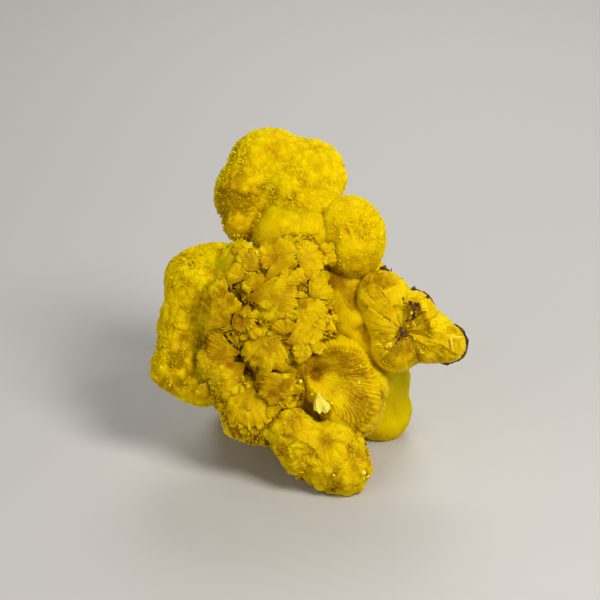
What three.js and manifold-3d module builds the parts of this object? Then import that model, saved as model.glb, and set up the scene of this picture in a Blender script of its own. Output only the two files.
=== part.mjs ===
// A cluster of vanuralite: canary-yellow balls of radiating tabular crystals, grown together into one
// mass. It stands on three lobes that are worn flat underneath. A wing of larger crystals juts out at
// +X, and a plate of the brown rock that it grew on is still on the wing's back.
// Millimetres, +Z up, the broad face towards -Y. The origin is on the resting plane, under the middle.

import * as THREE from 'three';
import { mergeVertices } from 'three/addons/utils/BufferGeometryUtils.js';
import Module from 'manifold-3d';

const wasm = await Module();
wasm.setup();

// ---------------------------------------------------------------- driving dimensions, in millimetres

const ROCK_GAP = 0.12; // between the crystals and the rock plate
const ROCK_THICKNESS = 0.75;
const ROCK_MARGIN = 0.12; // how far the rock shows past the crystals' edge
const SEED = 21; // picks how each ball is turned and where its single crystals stand
const RIB_SPACING = 1.4; // between neighbouring crystal edges round a ball
const RIB_DEPTH = 0.07; // share of a ball's radius
const BAND_HEIGHT = 1.4; // between the levels where the edges bend, along a ball's surface
const CRYSTAL = { length: 0.9, width: 0.62, thickness: 0.17, stand: 0.2 }; // stand: out of its ball
const FUNNEL = { mouth: 1.5, depth: 1.15, rays: 11 }; // the broken ball that shows its radiating inside
const WING_CRYSTAL = { length: 1.25, width: 0.5, thickness: 0.2 };

// Every ball is [x, y, z, radius]. Balls of one group grew from one root, and the inner balls only
// fill the middle.
const BALLS = {
  crown: [
    [-1.5, 3.6, 12.4, 1.4], [-2.2, 3.7, 12.0, 1.45], [0.2, 3.2, 11.9, 1.45], [0.7, 2.7, 11.8, 1.1],
    [-2.9, 2.7, 11.3, 1.45], [-2.9, 1.8, 10.2, 1.1], [-0.7, 2.2, 11.4, 1.5],
  ],
  shoulder: [[-0.9, 0.8, 9.8, 1.6]],
  side_ball: [[2.0, 0.7, 10.2, 1.5], [1.9, 0.3, 9.5, 1.5]],
  left: [
    [-4.9, 0.5, 7.9, 1.5], [-3.8, 0.3, 8.5, 1.15], [-5.1, -0.1, 6.3, 1.5], [-5.5, -0.5, 5.4, 1.3],
    [-5.6, -1.4, 4.6, 1.3], [-4.5, -1.3, 4.0, 1.4],
  ],
  front: [
    [-0.5, -0.7, 9.4, 1.25], [-2.3, -1.3, 9.1, 1.05], [-3.6, -1.5, 7.8, 1.1], [-1.3, -1.8, 7.6, 1.6],
    [-3.8, -2.1, 6.7, 0.95], [-1.7, -2.7, 6.0, 1.3], [0.1, -1.4, 7.9, 1.1], [-3.0, -0.6, 9.2, 0.95],
    [0.4, -1.5, 6.5, 1.15],
  ],
  low: [
    [-3.9, -2.4, 5.2, 1.1], [-3.1, -2.9, 4.0, 1.3], [-2.7, -3.4, 2.9, 1.15], [-1.2, -3.3, 4.3, 1.15],
    [-1.8, -3.5, 2.7, 1.1],
  ],
  broken_ball: [[1.1, -2.2, 4.5, 1.85], [1.9, -2.9, 3.1, 1.5], [2.3, -2.2, 3.8, 1.35]],
  foot: [
    [-0.8, -4.0, 2.6, 1.2], [-0.2, -4.2, 1.7, 1.35], [0.9, -4.5, 1.2, 1.35], [1.7, -4.6, 1.1, 1.3],
    [1.4, -3.8, 2.0, 1.25],
  ],
  right_foot: [[3.3, 0.9, 1.1, 1.55], [3.1, 0.9, 2.8, 1.65]],
  left_foot: [[-2.8, 2.7, 1.1, 1.5], [-1.4, 1.8, 1.7, 1.6], [-2.7, 2.3, 3.2, 1.7]],
  bridge: [[1.0, 1.4, 7.0, 2.7], [2.6, 1.6, 5.2, 1.9]],
  back: [
    [0.6, 3.6, 7.4, 2.2], [-1.8, 3.4, 5.4, 2.3], [1.9, 3.6, 4.4, 2.1], [-0.9, 3.8, 10.0, 1.9],
    [-0.1, 2.6, 2.5, 2.0], [2.0, 3.0, 2.1, 1.6], [-3.4, 2.3, 7.2, 1.6],
  ],
};
const INNER_BALLS = [
  [0.2, -1.4, 2.5, 1.7], [-1.2, -1.2, 4.4, 2.4], [1.9, 0.0, 4.0, 2.3], [-1.1, 0.8, 6.8, 2.6],
  [-3.0, 0.6, 6.4, 2.3], [-0.1, 2.0, 9.7, 2.4], [0.5, -0.6, 6.0, 1.4], [-3.2, -1.4, 4.8, 1.1],
  [-2.9, -0.6, 8.2, 1.0], [1.0, 2.6, 3.5, 1.7], [-1.7, -3.0, 3.4, 0.9],
];

// The wing's balls, cut off flat where they grew on the rock plate.
const WING_BALLS = [
  [3.3, -1.0, 7.6, 1.3], [4.5, -1.5, 7.0, 1.2], [3.9, -2.0, 5.7, 1.2], [5.3, -1.8, 6.1, 1.25],
  [6.1, -2.1, 5.9, 0.9],
];
const ROCK_FACE_AT = [4.7, -1.35, 6.6]; // a point where the wing's crystals meet the rock
const ROCK_FACE_NORMAL = new THREE.Vector3(0.15, 0.9, -0.41).normalize(); // out of the wing's back
const WING_NUCLEUS = [4.35, -2.55, 6.35]; // the point that the wing's largest crystals radiate from
const FUNNEL_AT = [0.1, -3.7, 5.2]; // the middle of the funnel's mouth
const FUNNEL_AXIS = new THREE.Vector3(-0.35, -0.9, 0.3).normalize(); // out of the mouth

// ---------------------------------------------------------------- helpers

// A repeatable random number between 0 and 1 for each call.
function randomFrom(seed) {
  let state = seed;
  return () => {
    state = (state * 1664525 + 1013904223) % 4294967296;
    return state / 4294967296;
  };
}
const random = randomFrom(SEED);

function solidOf(geometry) {
  const bare = geometry.clone().deleteAttribute('normal').deleteAttribute('uv');
  const merged = mergeVertices(bare, 1e-4);
  return new wasm.Manifold(new wasm.Mesh({
    numProp: 3,
    vertProperties: merged.attributes.position.array,
    triVerts: new Uint32Array(merged.index.array),
  }));
}

function geometryOf(solid) {
  const mesh = solid.getMesh();
  const geometry = new THREE.BufferGeometry();
  geometry.setAttribute('position', new THREE.BufferAttribute(mesh.vertProperties, 3));
  geometry.setIndex(new THREE.BufferAttribute(mesh.triVerts, 1));
  geometry.computeVertexNormals();
  return geometry;
}

// Turns a geometry made along +Z so that its +Z points along direction, spun about it, and moves it.
function stand(geometry, at, direction, spin = 0) {
  const turn = new THREE.Quaternion().setFromUnitVectors(new THREE.Vector3(0, 0, 1), direction);
  return geometry.rotateZ(spin).applyQuaternion(turn).translate(...at);
}

// Evenly spread directions: each one is turned by the golden angle from the last.
function spreadDirections(count) {
  const golden = Math.PI * (3 - Math.sqrt(5));
  return Array.from({ length: count }, (_, i) => {
    const z = 1 - (2 * i + 1) / count;
    const across = Math.sqrt(1 - z * z);
    return new THREE.Vector3(across * Math.cos(golden * i), across * Math.sin(golden * i), z);
  });
}

function randomDirection() {
  const z = 2 * random() - 1;
  const angle = 2 * Math.PI * random();
  const across = Math.sqrt(1 - z * z);
  return new THREE.Vector3(across * Math.cos(angle), across * Math.sin(angle), z);
}

// A ball of plates that stand like the pages of an opened book: every other meridian is a crystal edge
// that stands proud, and every other one is the groove between two crystals.
function ribbedBall(radius) {
  const ribs = Math.max(6, Math.round((2 * Math.PI * radius) / RIB_SPACING));
  const around = 2 * ribs;
  const bands = Math.max(3, Math.ceil((Math.PI * radius) / BAND_HEIGHT));
  const points = [0, 0, radius];
  for (let j = 1; j < bands; j++) {
    const polar = (Math.PI * j) / bands;
    for (let i = 0; i < around; i++) {
      const rib = (i % 2 ? -1 : 1) * RIB_DEPTH * Math.sin(polar);
      const r = radius * (1 + rib + 0.05 * (random() - 0.5));
      const angle = (2 * Math.PI * (i + 0.5 * (j % 2))) / around;
      points.push(r * Math.sin(polar) * Math.cos(angle), r * Math.sin(polar) * Math.sin(angle), r * Math.cos(polar));
    }
  }
  points.push(0, 0, -radius);
  const last = points.length / 3 - 1;
  const faces = [];
  const at = (j, i) => 1 + (j - 1) * around + (i % around);
  for (let i = 0; i < around; i++) {
    faces.push(0, at(1, i), at(1, i + 1));
    for (let j = 1; j < bands - 1; j++) {
      const [a, b, c, d] = [at(j, i), at(j, i + 1), at(j + 1, i), at(j + 1, i + 1)];
      if (j % 2) faces.push(a, c, b, b, c, d);
      else faces.push(a, c, d, a, d, b);
    }
    faces.push(last, at(bands - 1, i + 1), at(bands - 1, i));
  }
  const geometry = new THREE.BufferGeometry();
  geometry.setAttribute('position', new THREE.Float32BufferAttribute(points, 3));
  geometry.setIndex(faces);
  return geometry;
}

// A tabular crystal: a thin flat plate with a chisel end, its length along +Z from the origin.
function tabularCrystal({ length, width, thickness }) {
  const half = width / 2;
  const outline = new THREE.Shape([
    new THREE.Vector2(-half * 0.6, 0), new THREE.Vector2(half * 0.6, 0),
    new THREE.Vector2(half, length * 0.72), new THREE.Vector2(half * 0.45, length),
    new THREE.Vector2(-half * 0.55, length * 0.96), new THREE.Vector2(-half, length * 0.7),
  ]);
  return new THREE.ExtrudeGeometry(outline, { depth: thickness, bevelEnabled: false })
    .translate(0, 0, -thickness / 2)
    .rotateX(Math.PI / 2);
}

function isOutside(point, balls, own, share = 0.97) {
  return balls.every((ball) => {
    const away = point.distanceTo(new THREE.Vector3(ball[0], ball[1], ball[2]));
    return ball === own || away > share * ball[3];
  });
}

// Everything within reach on the far side of a plane, as one solid.
function halfSpace(at, normal, reach = 40) {
  const block = new THREE.BoxGeometry(reach, reach, reach).translate(0, 0, reach / 2);
  return solidOf(stand(block, at, normal));
}

// ---------------------------------------------------------------- pieces of the cluster

const OUTER_BALLS = Object.values(BALLS).flat();
const BODY_BALLS = [...OUTER_BALLS, ...INNER_BALLS];
const ALL_BALLS = [...BODY_BALLS, ...WING_BALLS];

function ballSolid([x, y, z, radius]) {
  return solidOf(stand(ribbedBall(radius), [x, y, z], randomDirection(), random() * Math.PI));
}

// Single crystals that stand out of a ball, one for each spread direction that ends in the open.
function standingCrystals(ball, count) {
  const [x, y, z, radius] = ball;
  const centre = new THREE.Vector3(x, y, z);
  return spreadDirections(count)
    .map((way) => way.addScaledVector(randomDirection(), 0.35).normalize())
    .filter((way) => isOutside(centre.clone().addScaledVector(way, radius), ALL_BALLS, ball, 1.0))
    .map((way) => {
      const size = 0.8 + 0.4 * random();
      const crystal = {
        length: CRYSTAL.length * size,
        width: CRYSTAL.width * size,
        thickness: CRYSTAL.thickness,
      };
      const root = centre.clone().addScaledVector(way, radius + CRYSTAL.stand * size - crystal.length);
      return solidOf(stand(tabularCrystal(crystal), root.toArray(), way, random() * Math.PI));
    });
}

// The hollow of the broken ball: a cone whose wall is folded into rays.
function funnelSolid() {
  const { mouth, depth, rays } = FUNNEL;
  const rise = 0.8; // the cutter goes on past the mouth
  const steps = 2 * rays;
  const ring = (share, height) => Array.from({ length: steps }, (_, i) => {
    const angle = (2 * Math.PI * i) / steps;
    const r = mouth * share * (i % 2 ? 0.86 : 1.06);
    return [r * Math.cos(angle), r * Math.sin(angle), height];
  });
  const rings = [...ring(0.45, -0.45 * depth), ...ring(1, 0.05), ...ring(1.5, rise)];
  const points = [0, 0, -depth, ...rings.flat(), 0, 0, rise];
  const top = points.length / 3 - 1;
  const faces = [];
  for (let i = 0; i < steps; i++) {
    const next = (i + 1) % steps;
    faces.push(0, 1 + next, 1 + i);
    for (let k = 0; k < 2; k++) {
      const [a, b] = [1 + k * steps + i, 1 + k * steps + next];
      faces.push(a, b, b + steps, a, b + steps, a + steps);
    }
    faces.push(top, 1 + 2 * steps + i, 1 + 2 * steps + next);
  }
  const geometry = new THREE.BufferGeometry();
  geometry.setAttribute('position', new THREE.Float32BufferAttribute(points, 3));
  geometry.setIndex(faces);
  return solidOf(stand(geometry, FUNNEL_AT, FUNNEL_AXIS));
}

// Large plates that lie on the wing's face and radiate from its nucleus.
function wingFan() {
  const nucleus = new THREE.Vector3(...WING_NUCLEUS);
  const out = ROCK_FACE_NORMAL.clone().negate();
  const across = new THREE.Vector3(1, 0, 0).projectOnPlane(out).normalize();
  const up = new THREE.Vector3().crossVectors(out, across).normalize();
  const spokes = 10;
  return Array.from({ length: spokes }, (_, i) => {
    const angle = (2 * Math.PI * (i + 0.3 * random())) / spokes;
    const way = across.clone().multiplyScalar(Math.cos(angle)).addScaledVector(up, Math.sin(angle));
    way.addScaledVector(out, 0.12 + 0.2 * random()).normalize();
    const crystal = { ...WING_CRYSTAL, length: WING_CRYSTAL.length * (0.8 + 0.35 * random()) };
    const root = nucleus.clone().addScaledVector(way, -0.05);
    return solidOf(stand(tabularCrystal(crystal), root.toArray(), way, angle + 0.5 * random()));
  });
}

function wingSolid() {
  const balls = WING_BALLS.map(ballSolid);
  const crystals = WING_BALLS.flatMap((ball) => standingCrystals(ball, 4));
  const behind = halfSpace(ROCK_FACE_AT, ROCK_FACE_NORMAL);
  return wasm.Manifold.union([...balls, ...crystals, ...wingFan()]).subtract(behind);
}

function clusterSolid(floor) {
  const inner = INNER_BALLS.map(([x, y, z, radius]) => solidOf(
    new THREE.IcosahedronGeometry(radius, 1).translate(x, y, z),
  ));
  const outer = OUTER_BALLS.map(ballSolid);
  const rough = [BALLS.front, BALLS.low, BALLS.foot].flat();
  const crystals = rough.flatMap((ball) => standingCrystals(ball, 2));
  const body = wasm.Manifold.union([...inner, ...outer, ...crystals]).subtract(funnelSolid());
  return body.add(wingSolid()).subtract(floor);
}

// ---------------------------------------------------------------- the rock plate on the wing's back

// A flattened lump of rock centred on the rock face, as wide as the ball of crystals that it carries.
function rockLump([x, y, z, radius]) {
  const face = new THREE.Plane().setFromNormalAndCoplanarPoint(
    ROCK_FACE_NORMAL,
    new THREE.Vector3(...ROCK_FACE_AT),
  );
  const centre = new THREE.Vector3(x, y, z);
  const height = face.distanceToPoint(centre);
  const wide = Math.sqrt(radius * radius - height * height) + ROCK_MARGIN;
  const lump = new THREE.IcosahedronGeometry(1, 1);
  const merged = mergeVertices(lump.deleteAttribute('normal').deleteAttribute('uv'), 1e-4);
  const points = merged.attributes.position;
  for (let i = 0; i < points.count; i++) {
    const rough = 0.94 + 0.12 * random();
    points.setXYZ(
      i,
      points.getX(i) * wide * rough,
      points.getY(i) * wide * rough,
      points.getZ(i) * ROCK_THICKNESS * (rough + 0.15 * random()),
    );
  }
  const at = centre.addScaledVector(ROCK_FACE_NORMAL, -height);
  return solidOf(stand(merged, at.toArray(), ROCK_FACE_NORMAL));
}

function rockSolid() {
  const front = halfSpace(
    new THREE.Vector3(...ROCK_FACE_AT).addScaledVector(ROCK_FACE_NORMAL, ROCK_GAP).toArray(),
    ROCK_FACE_NORMAL.clone().negate(),
  );
  const lumps = wasm.Manifold.union(WING_BALLS.map(rockLump));
  const inTheWay = BODY_BALLS.map(([x, y, z, radius]) => {
    const clear = radius * (1 + RIB_DEPTH + 0.025) + ROCK_GAP;
    return solidOf(new THREE.IcosahedronGeometry(clear * 1.06, 1).translate(x, y, z));
  });
  return lumps.subtract(front).subtract(wasm.Manifold.union(inTheWay));
}

// ---------------------------------------------------------------- the scene graph

const vanuralite = new THREE.MeshStandardMaterial({ color: 0xe3c800, roughness: 0.45, metalness: 0 });
const hostRock = new THREE.MeshStandardMaterial({ color: 0x4a2a14, roughness: 0.85, metalness: 0 });

const cluster = new THREE.Mesh(
  geometryOf(clusterSolid(halfSpace([0, 0, 0], new THREE.Vector3(0, 0, -1)))),
  vanuralite,
);
cluster.name = 'crystal_cluster';

const rock = new THREE.Mesh(geometryOf(rockSolid()), hostRock);
rock.name = 'rock_plate';

const specimen = new THREE.Group();
specimen.add(cluster, rock);

// The origin goes on the resting plane, under the middle of the specimen.
const middle = new THREE.Box3().setFromObject(specimen).getCenter(new THREE.Vector3());
specimen.position.set(-middle.x, -middle.y, 0);

export default specimen;
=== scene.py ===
# %% [markdown]
# # A cluster of vanuralite crystals
# This lesson dresses a small mineral specimen: a mass of canary-yellow balls of crystals, 14 mm tall,
# with a wing on its right that still carries a plate of brown rock. We start from plain solids, which
# give the size and the collision, and put a finer surface in their place.

import bpy
import numpy as np
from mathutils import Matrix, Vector


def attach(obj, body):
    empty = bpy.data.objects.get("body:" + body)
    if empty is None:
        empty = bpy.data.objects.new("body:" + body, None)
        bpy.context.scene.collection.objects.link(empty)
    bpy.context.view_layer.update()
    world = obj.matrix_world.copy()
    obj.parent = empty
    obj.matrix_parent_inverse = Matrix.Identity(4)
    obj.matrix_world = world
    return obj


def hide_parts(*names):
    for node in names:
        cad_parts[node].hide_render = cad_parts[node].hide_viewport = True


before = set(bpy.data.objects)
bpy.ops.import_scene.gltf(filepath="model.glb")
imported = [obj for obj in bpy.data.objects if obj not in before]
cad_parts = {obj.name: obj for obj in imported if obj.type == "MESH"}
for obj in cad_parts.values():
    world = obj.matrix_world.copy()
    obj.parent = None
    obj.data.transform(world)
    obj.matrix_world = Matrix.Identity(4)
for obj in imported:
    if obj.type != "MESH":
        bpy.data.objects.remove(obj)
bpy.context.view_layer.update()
MM = 0.001
ORIGIN = np.array([0.103, -0.056, 0.0])  # the resting point's middle, in the coordinates used below

# %% [markdown]
# ## Where the balls are
# Vanuralite grows as thin plates that spread from one root, so a root ends up inside a ball. Every ball
# below is [x, y, z, radius] in millimetres, with Z up and the broad face towards -Y. Balls that melt
# into one lump share a region.

# %% Balls of every region
REGIONS = {
    "crown": [
        [-1.6, 3.6, 12.4, 1.4], [-2.2, 3.7, 12.0, 1.45], [0.2, 3.2, 11.9, 1.45], [0.7, 2.7, 11.8, 1.1],
        [-0.3, 3.3, 12.3, 1.05], [-2.8, 2.7, 11.3, 1.4], [-3.1, 2.3, 10.7, 1.0], [-2.9, 1.7, 10.0, 0.95],
        [-0.7, 2.2, 11.4, 1.5], [-1.7, 2.7, 10.5, 1.6], [-0.8, 3.6, 11.8, 1.5], [0.6, 1.55, 10.9, 1.1],
        [-0.5, 1.25, 10.9, 1.15], [-2.3, 3.0, 12.5, 1.05], [-2.55, 2.1, 11.6, 0.75],
    ],
    "shoulder": [[-1.0, 0.8, 9.8, 1.6], [0.0, 0.6, 9.9, 1.35]],
    "side_ball": [
        [1.8, 0.8, 10.2, 1.5], [1.9, 0.3, 9.5, 1.5], [2.4, 0.4, 10.0, 1.1], [1.9, 0.5, 8.3, 1.0],
    ],
    "left_lobe": [
        [-4.7, 0.5, 7.9, 1.5], [-5.1, 0.4, 7.8, 1.3], [-3.8, 0.3, 8.5, 1.15], [-5.1, -0.1, 6.2, 1.5],
        [-5.5, -0.5, 5.4, 1.3], [-5.7, -1.4, 4.5, 1.35], [-5.0, -1.7, 4.0, 1.15], [-4.5, -1.3, 4.0, 1.4],
        [-3.0, -0.6, 9.2, 0.98],
    ],
    "bridge": [
        [1.0, 1.4, 7.0, 2.7], [2.6, 1.6, 5.2, 1.9], [1.7, 0.5, 5.9, 1.45], [2.2, 0.1, 4.6, 1.45],
        [1.2, 1.3, 7.0, 1.25], [1.9, 0.0, 4.0, 2.3], [3.1, 0.9, 2.8, 1.65], [3.3, 0.9, 1.1, 1.55],
        [1.95, -0.72, 6.5, 1.25], [1.75, -0.5, 7.2, 0.95], [2.75, -1.2, 5.0, 1.1],
    ],
    "back": [
        [0.6, 3.6, 7.4, 2.2], [-1.8, 3.4, 5.4, 2.3], [1.9, 3.6, 4.4, 2.1], [-0.9, 3.8, 10.0, 1.9],
        [-0.1, 2.6, 2.5, 2.0], [2.0, 3.0, 2.1, 1.6], [-3.4, 2.3, 7.2, 1.6], [-3.0, 0.6, 6.4, 2.3],
    ],
    "hind_foot": [[-2.8, 2.7, 1.1, 1.5], [-1.4, 1.8, 1.7, 1.6], [-2.7, 2.3, 3.2, 1.7]],
    "belly": [[0.2, -1.4, 2.5, 1.7], [-1.2, -1.2, 4.4, 2.4], [-1.1, 0.8, 6.8, 2.6]],
    "brow": [
        [-0.5, -0.7, 9.4, 1.25], [-2.3, -1.25, 9.05, 1.0], [-1.45, -1.35, 8.95, 0.9],
        [-0.2, -1.35, 8.75, 0.95], [-2.7, -1.55, 8.45, 0.75],
    ],
    "cheek": [[-3.6, -1.5, 7.8, 1.1], [-3.8, -2.1, 6.7, 0.95], [-2.6, -2.2, 6.6, 1.15]],
    "middle": [
        [-1.3, -1.8, 7.6, 1.6], [0.1, -1.4, 7.9, 1.1], [0.4, -1.5, 6.5, 1.15], [-1.7, -2.7, 6.0, 1.3],
        [-2.4, -1.9, 8.1, 0.75], [-0.45, -1.75, 8.35, 0.9], [-0.7, -2.4, 6.3, 0.9],
    ],
    "low": [
        [-3.9, -2.4, 5.2, 1.1], [-3.1, -2.9, 4.0, 1.3], [-2.7, -3.4, 2.9, 1.15], [-1.2, -3.3, 4.3, 1.15],
        [-1.8, -3.5, 2.7, 1.1],
    ],
    "broken": [
        [1.1, -2.2, 4.5, 1.85], [1.9, -2.9, 3.1, 1.5], [2.3, -2.2, 3.8, 1.35], [-0.3, -2.3, 5.05, 1.08],
    ],
    "foot": [
        [-0.8, -4.0, 2.6, 1.2], [-0.2, -4.2, 1.7, 1.35], [0.9, -4.5, 1.2, 1.35], [1.7, -4.6, 1.1, 1.3],
        [1.4, -3.8, 2.0, 1.25],
    ],
    "wing": [
        [3.3, -1.0, 7.6, 1.3], [4.5, -1.5, 7.0, 1.2], [3.9, -2.0, 5.7, 1.2], [5.3, -1.8, 6.1, 1.25],
        [6.1, -2.1, 5.9, 0.9], [3.45, -1.6, 6.75, 1.0],
    ],
}


def placed(rows):
    """Rows that start with [x, y, z], moved so that the resting point's middle is the origin."""
    moved = np.array(rows, float)
    moved[:, :3] -= ORIGIN
    return moved


EVERY_BALL = placed(sum(REGIONS.values(), []))
BODY_BALLS = placed(sum((rows for name, rows in REGIONS.items() if name != "wing"), []))
print(len(EVERY_BALL), "balls in", len(REGIONS), "regions")

# %% [markdown]
# ## Random heights that never change
# Natural surfaces need irregular bumps, but the script has to give the same stone each time. A fixed
# cube of random numbers, read between its points with a smooth blend, gives bumps of any size.

# %% Smooth noise
LATTICE = np.random.default_rng(5).random(32**3)
print(len(LATTICE), "random numbers in the lattice")


def bumps(points, size, seed=0):
    """Smooth random heights from -1 to 1, one bump about every size mm.

    Each point lies in a cube of the lattice, and takes the mean of that cube's eight corners, each
    weighted by how near it is.
    """
    q = points / size + seed * 7.31
    base = np.floor(q).astype(int)
    part = q - base
    part = part * part * (3 - 2 * part)
    low = base & 31
    high = (base + 1) & 31
    x, y, z = part.T
    total = 0.0
    for i, share_x in ((low[:, 0], 1 - x), (high[:, 0], x)):
        for j, share_y in ((low[:, 1], 1 - y), (high[:, 1], y)):
            row = (i * 32 + j) * 32
            pair = LATTICE[row + low[:, 2]] * (1 - z) + LATTICE[row + high[:, 2]] * z
            total = total + share_x * share_y * pair
    return 2 * total - 1


def unit(vectors):
    """The same directions, each of length one."""
    return vectors / np.maximum(np.linalg.norm(vectors, axis=-1, keepdims=True), 1e-9)


def distances(points, spots):
    """The distance from every point to every spot: |p - s|^2 = |p|^2 - 2 p.s + |s|^2."""
    places = spots[:, :3]
    square = (points**2).sum(axis=1)[:, None] - 2 * points @ places.T + (places**2).sum(axis=1)
    return np.sqrt(np.maximum(square, 0))


def scrambled(a, b):
    """A random-looking number from 0 to 1 for each pair: the far digits of a sine."""
    return np.abs(np.sin(a * 12.9898 + b * 78.233) * 43758.5453) % 1


def smooth_step(value, low, high):
    """Zero below low, one above high, and an S-shaped rise between."""
    part = np.clip((value - low) / (high - low), 0, 1)
    return part * part * (3 - 2 * part)


# %% [markdown]
# ## Bundles
# On the real stone the plates come in bundles, like books on end. A point's bundle is the nearest of
# some scattered seeds. We need the distance to the nearest seed and to the second nearest, the seed's
# place, and a random number that the whole bundle shares.

# %% Scattered cells
JITTER = np.random.default_rng(8).random((16**3, 4))
print(len(JITTER), "seeds of bundles")


def bundles(points, size):
    """For each point: distances to its two nearest seeds, the nearest seed's place and random number.

    Space is cut into cubes of that size with one seed somewhere in each, so only the 27 cubes round a
    point can hold its nearest seed.
    """
    q = points / size
    base = np.floor(q).astype(int)
    part = q - base
    first = np.full(len(points), 9.0)
    second = first.copy()
    winner = np.zeros(len(points), int)
    offset = np.zeros((len(points), 3))
    for step in np.ndindex(3, 3, 3):
        cube = np.array(step) - 1
        place = (base + cube) & 15
        index = (place[:, 0] * 16 + place[:, 1]) * 16 + place[:, 2]
        away = ((JITTER[index, :3] + (cube - part)) ** 2).sum(axis=1)
        nearer = away < first
        second = np.where(nearer, first, np.minimum(second, away))
        first = np.where(nearer, away, first)
        winner[nearer] = index[nearer]
        offset[nearer] = cube
    place = (base + offset + JITTER[winner, :3]) * size
    return np.sqrt(first), np.sqrt(second), place, JITTER[winner, 3]


# %% [markdown]
# ## The broken ball's hollow
# One ball on the front is broken open, so its plates are seen from their root outwards. The hollow is a
# cone with its point at the root. It opens wider to the right than to the left.

# %% The hollow and the pits
ROOT = np.array([0.26, -2.74, 4.80]) - ORIGIN
HOLLOW_WAY = unit(np.array([0.34, -0.92, 0.20]))
HOLLOW_RIGHT = unit(np.cross(np.array([0, 0, 1.0]), HOLLOW_WAY))
HOLLOW_UP = np.cross(HOLLOW_WAY, HOLLOW_RIGHT)
HOLLOW_REACH = {"right": 1.9, "left": 0.75, "up": 1.35, "down": 0.95}  # sideways, for each mm of depth


def chain(start, end, radius, count):
    """Rows [x, y, z, radius] spaced evenly from one place to another."""
    return [[*row, radius] for row in np.linspace(start, end, count)]


PITS = placed(
    [[1.62, -0.63, 10.64, 0.17], [1.76, -0.76, 10.56, 0.12]]
    + [[-4.41, -3.34, 4.96, 0.10], [-0.61, -3.11, 8.21, 0.10]]
    + chain([-1.15, -5.10, 2.84], [-0.50, -5.24, 2.60], 0.16, 6)
    + chain([-0.50, -5.24, 2.60], [0.20, -5.40, 2.36], 0.14, 6)
    + chain([-1.30, -4.90, 2.05], [-0.75, -5.25, 1.85], 0.07, 5)
    + chain([-0.48, -4.20, 4.35], [-0.15, -3.50, 3.70], 0.12, 5)
    + chain([-0.15, -3.50, 3.70], [0.80, -3.82, 3.34], 0.11, 7)
    + chain([2.42, -1.90, 7.95], [2.40, -1.85, 6.00], 0.045, 24)
)
print(len(PITS), "pits, some in chains that draw slits")


def hollow(points):
    """Positive inside the hollow: depth along the cone, less the distance aside over the reach."""
    value = np.full(len(points), -1.0)
    near = np.linalg.norm(points - ROOT, axis=1) < 3.4
    close = points[near]
    along = (close - ROOT) @ HOLLOW_WAY
    right = (close - ROOT) @ HOLLOW_RIGHT
    up = (close - ROOT) @ HOLLOW_UP
    across = right / np.where(right > 0, HOLLOW_REACH["right"], HOLLOW_REACH["left"])
    rise = up / np.where(up > 0, HOLLOW_REACH["up"], HOLLOW_REACH["down"])
    ragged = (0.16 * bumps(close, 0.5, 18) + 0.07 * bumps(close, 0.15, 19)) * np.clip(along, 0, 1)
    value[near] = 0.70 * (along - np.sqrt(across**2 + rise**2) + ragged)
    return value


def deep_in_pit(points):
    """How far points are inside the small round pits, which have ragged edges."""
    value = (PITS[:, 3] - distances(points, PITS)).max(axis=1)
    near = value > -0.15
    value[near] += 0.05 * bumps(points[near], 0.15, 16)
    return value


def carved(points):
    """Positive inside the hollow or inside one of the small round pits."""
    return np.maximum(hollow(points), deep_in_pit(points))


# %% [markdown]
# ## A skin round many balls
# To cover a lump made of several balls with one sheet, we look from its middle in every direction and
# find how far out the surface is. The distance to the nearest ball, softened where two are close, tells
# how far a ray may safely step inwards, so a few dozen steps land every ray on the surface at once.

# %% Ray-marched skin
SHRINK = 0.5  # the share of the melt that is given back


def outside(points, balls, melt):
    """How far points are outside the balls, which melt into each other over that width (soft minimum).

    The soft minimum swells where balls overlap, so a part of the melt is given back.
    """
    away = distances(points, balls) - balls[:, 3]
    nearest = away.min(axis=1)
    swollen = np.log(np.exp((nearest[:, None] - away) / melt).sum(axis=1))
    return nearest - melt * (swollen - SHRINK)


def cells(here, beside):
    """The corners of each cell of a grid of point numbers: here, beside, below that, and below here."""
    return here[:-1].ravel(), beside[:-1].ravel(), beside[1:].ravel(), here[1:].ravel()


def halves(a, b, c, d):
    """Two triangles for each four-cornered cell."""
    return np.vstack([np.stack([a, b, c], axis=1), np.stack([a, c, d], axis=1)])


def globe(step, radius):
    """Directions on a globe whose grid cells measure about step at that radius, and its triangles.

    The first row is the north pole and the last the south pole, each one single point, so the grid
    closes there. Every other row is a full ring that closes on itself.
    """
    rings = max(8, int(np.pi * radius / step))
    around = 2 * rings
    polar = np.pi * np.arange(1, rings) / rings
    turn = 2 * np.pi * np.arange(around) / around
    polar, turn = np.meshgrid(polar, turn, indexing="ij")
    ring = np.stack([np.sin(polar) * np.cos(turn), np.sin(polar) * np.sin(turn), np.cos(polar)], axis=-1)
    ways = np.vstack([[[0, 0, 1]], ring.reshape(-1, 3), [[0, 0, -1]]])
    index = 1 + np.arange((rings - 1) * around).reshape(rings - 1, around)
    beside = np.roll(index, -1, axis=1)
    a, b, c, d = cells(index, beside)
    last = len(ways) - 1
    top = np.stack([np.zeros(around, int), index[0], beside[0]], axis=1)
    bottom = np.stack([np.full(around, last), beside[-1], index[-1]], axis=1)
    return ways, np.vstack([top, halves(a, d, c, b), bottom])


def march(middle, ways, reach, field):
    """Points where rays from the middle meet the surface, and the surface's outward directions there.

    Each ray starts outside and steps in by most of its distance to the surface, 30 times. The outward
    direction is the one in which the distance grows most, from points a tiny step to either side.
    """
    along = np.full(len(ways), reach)
    for _ in range(30):
        along = np.maximum(along - 0.95 * field(middle + ways * along[:, None]), 0.05)
    points = middle + ways * along[:, None]
    tiny = 0.02
    slope = [field(points + tiny * np.eye(3)[k]) - field(points - tiny * np.eye(3)[k]) for k in range(3)]
    return points, unit(np.stack(slope, axis=1))


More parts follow.
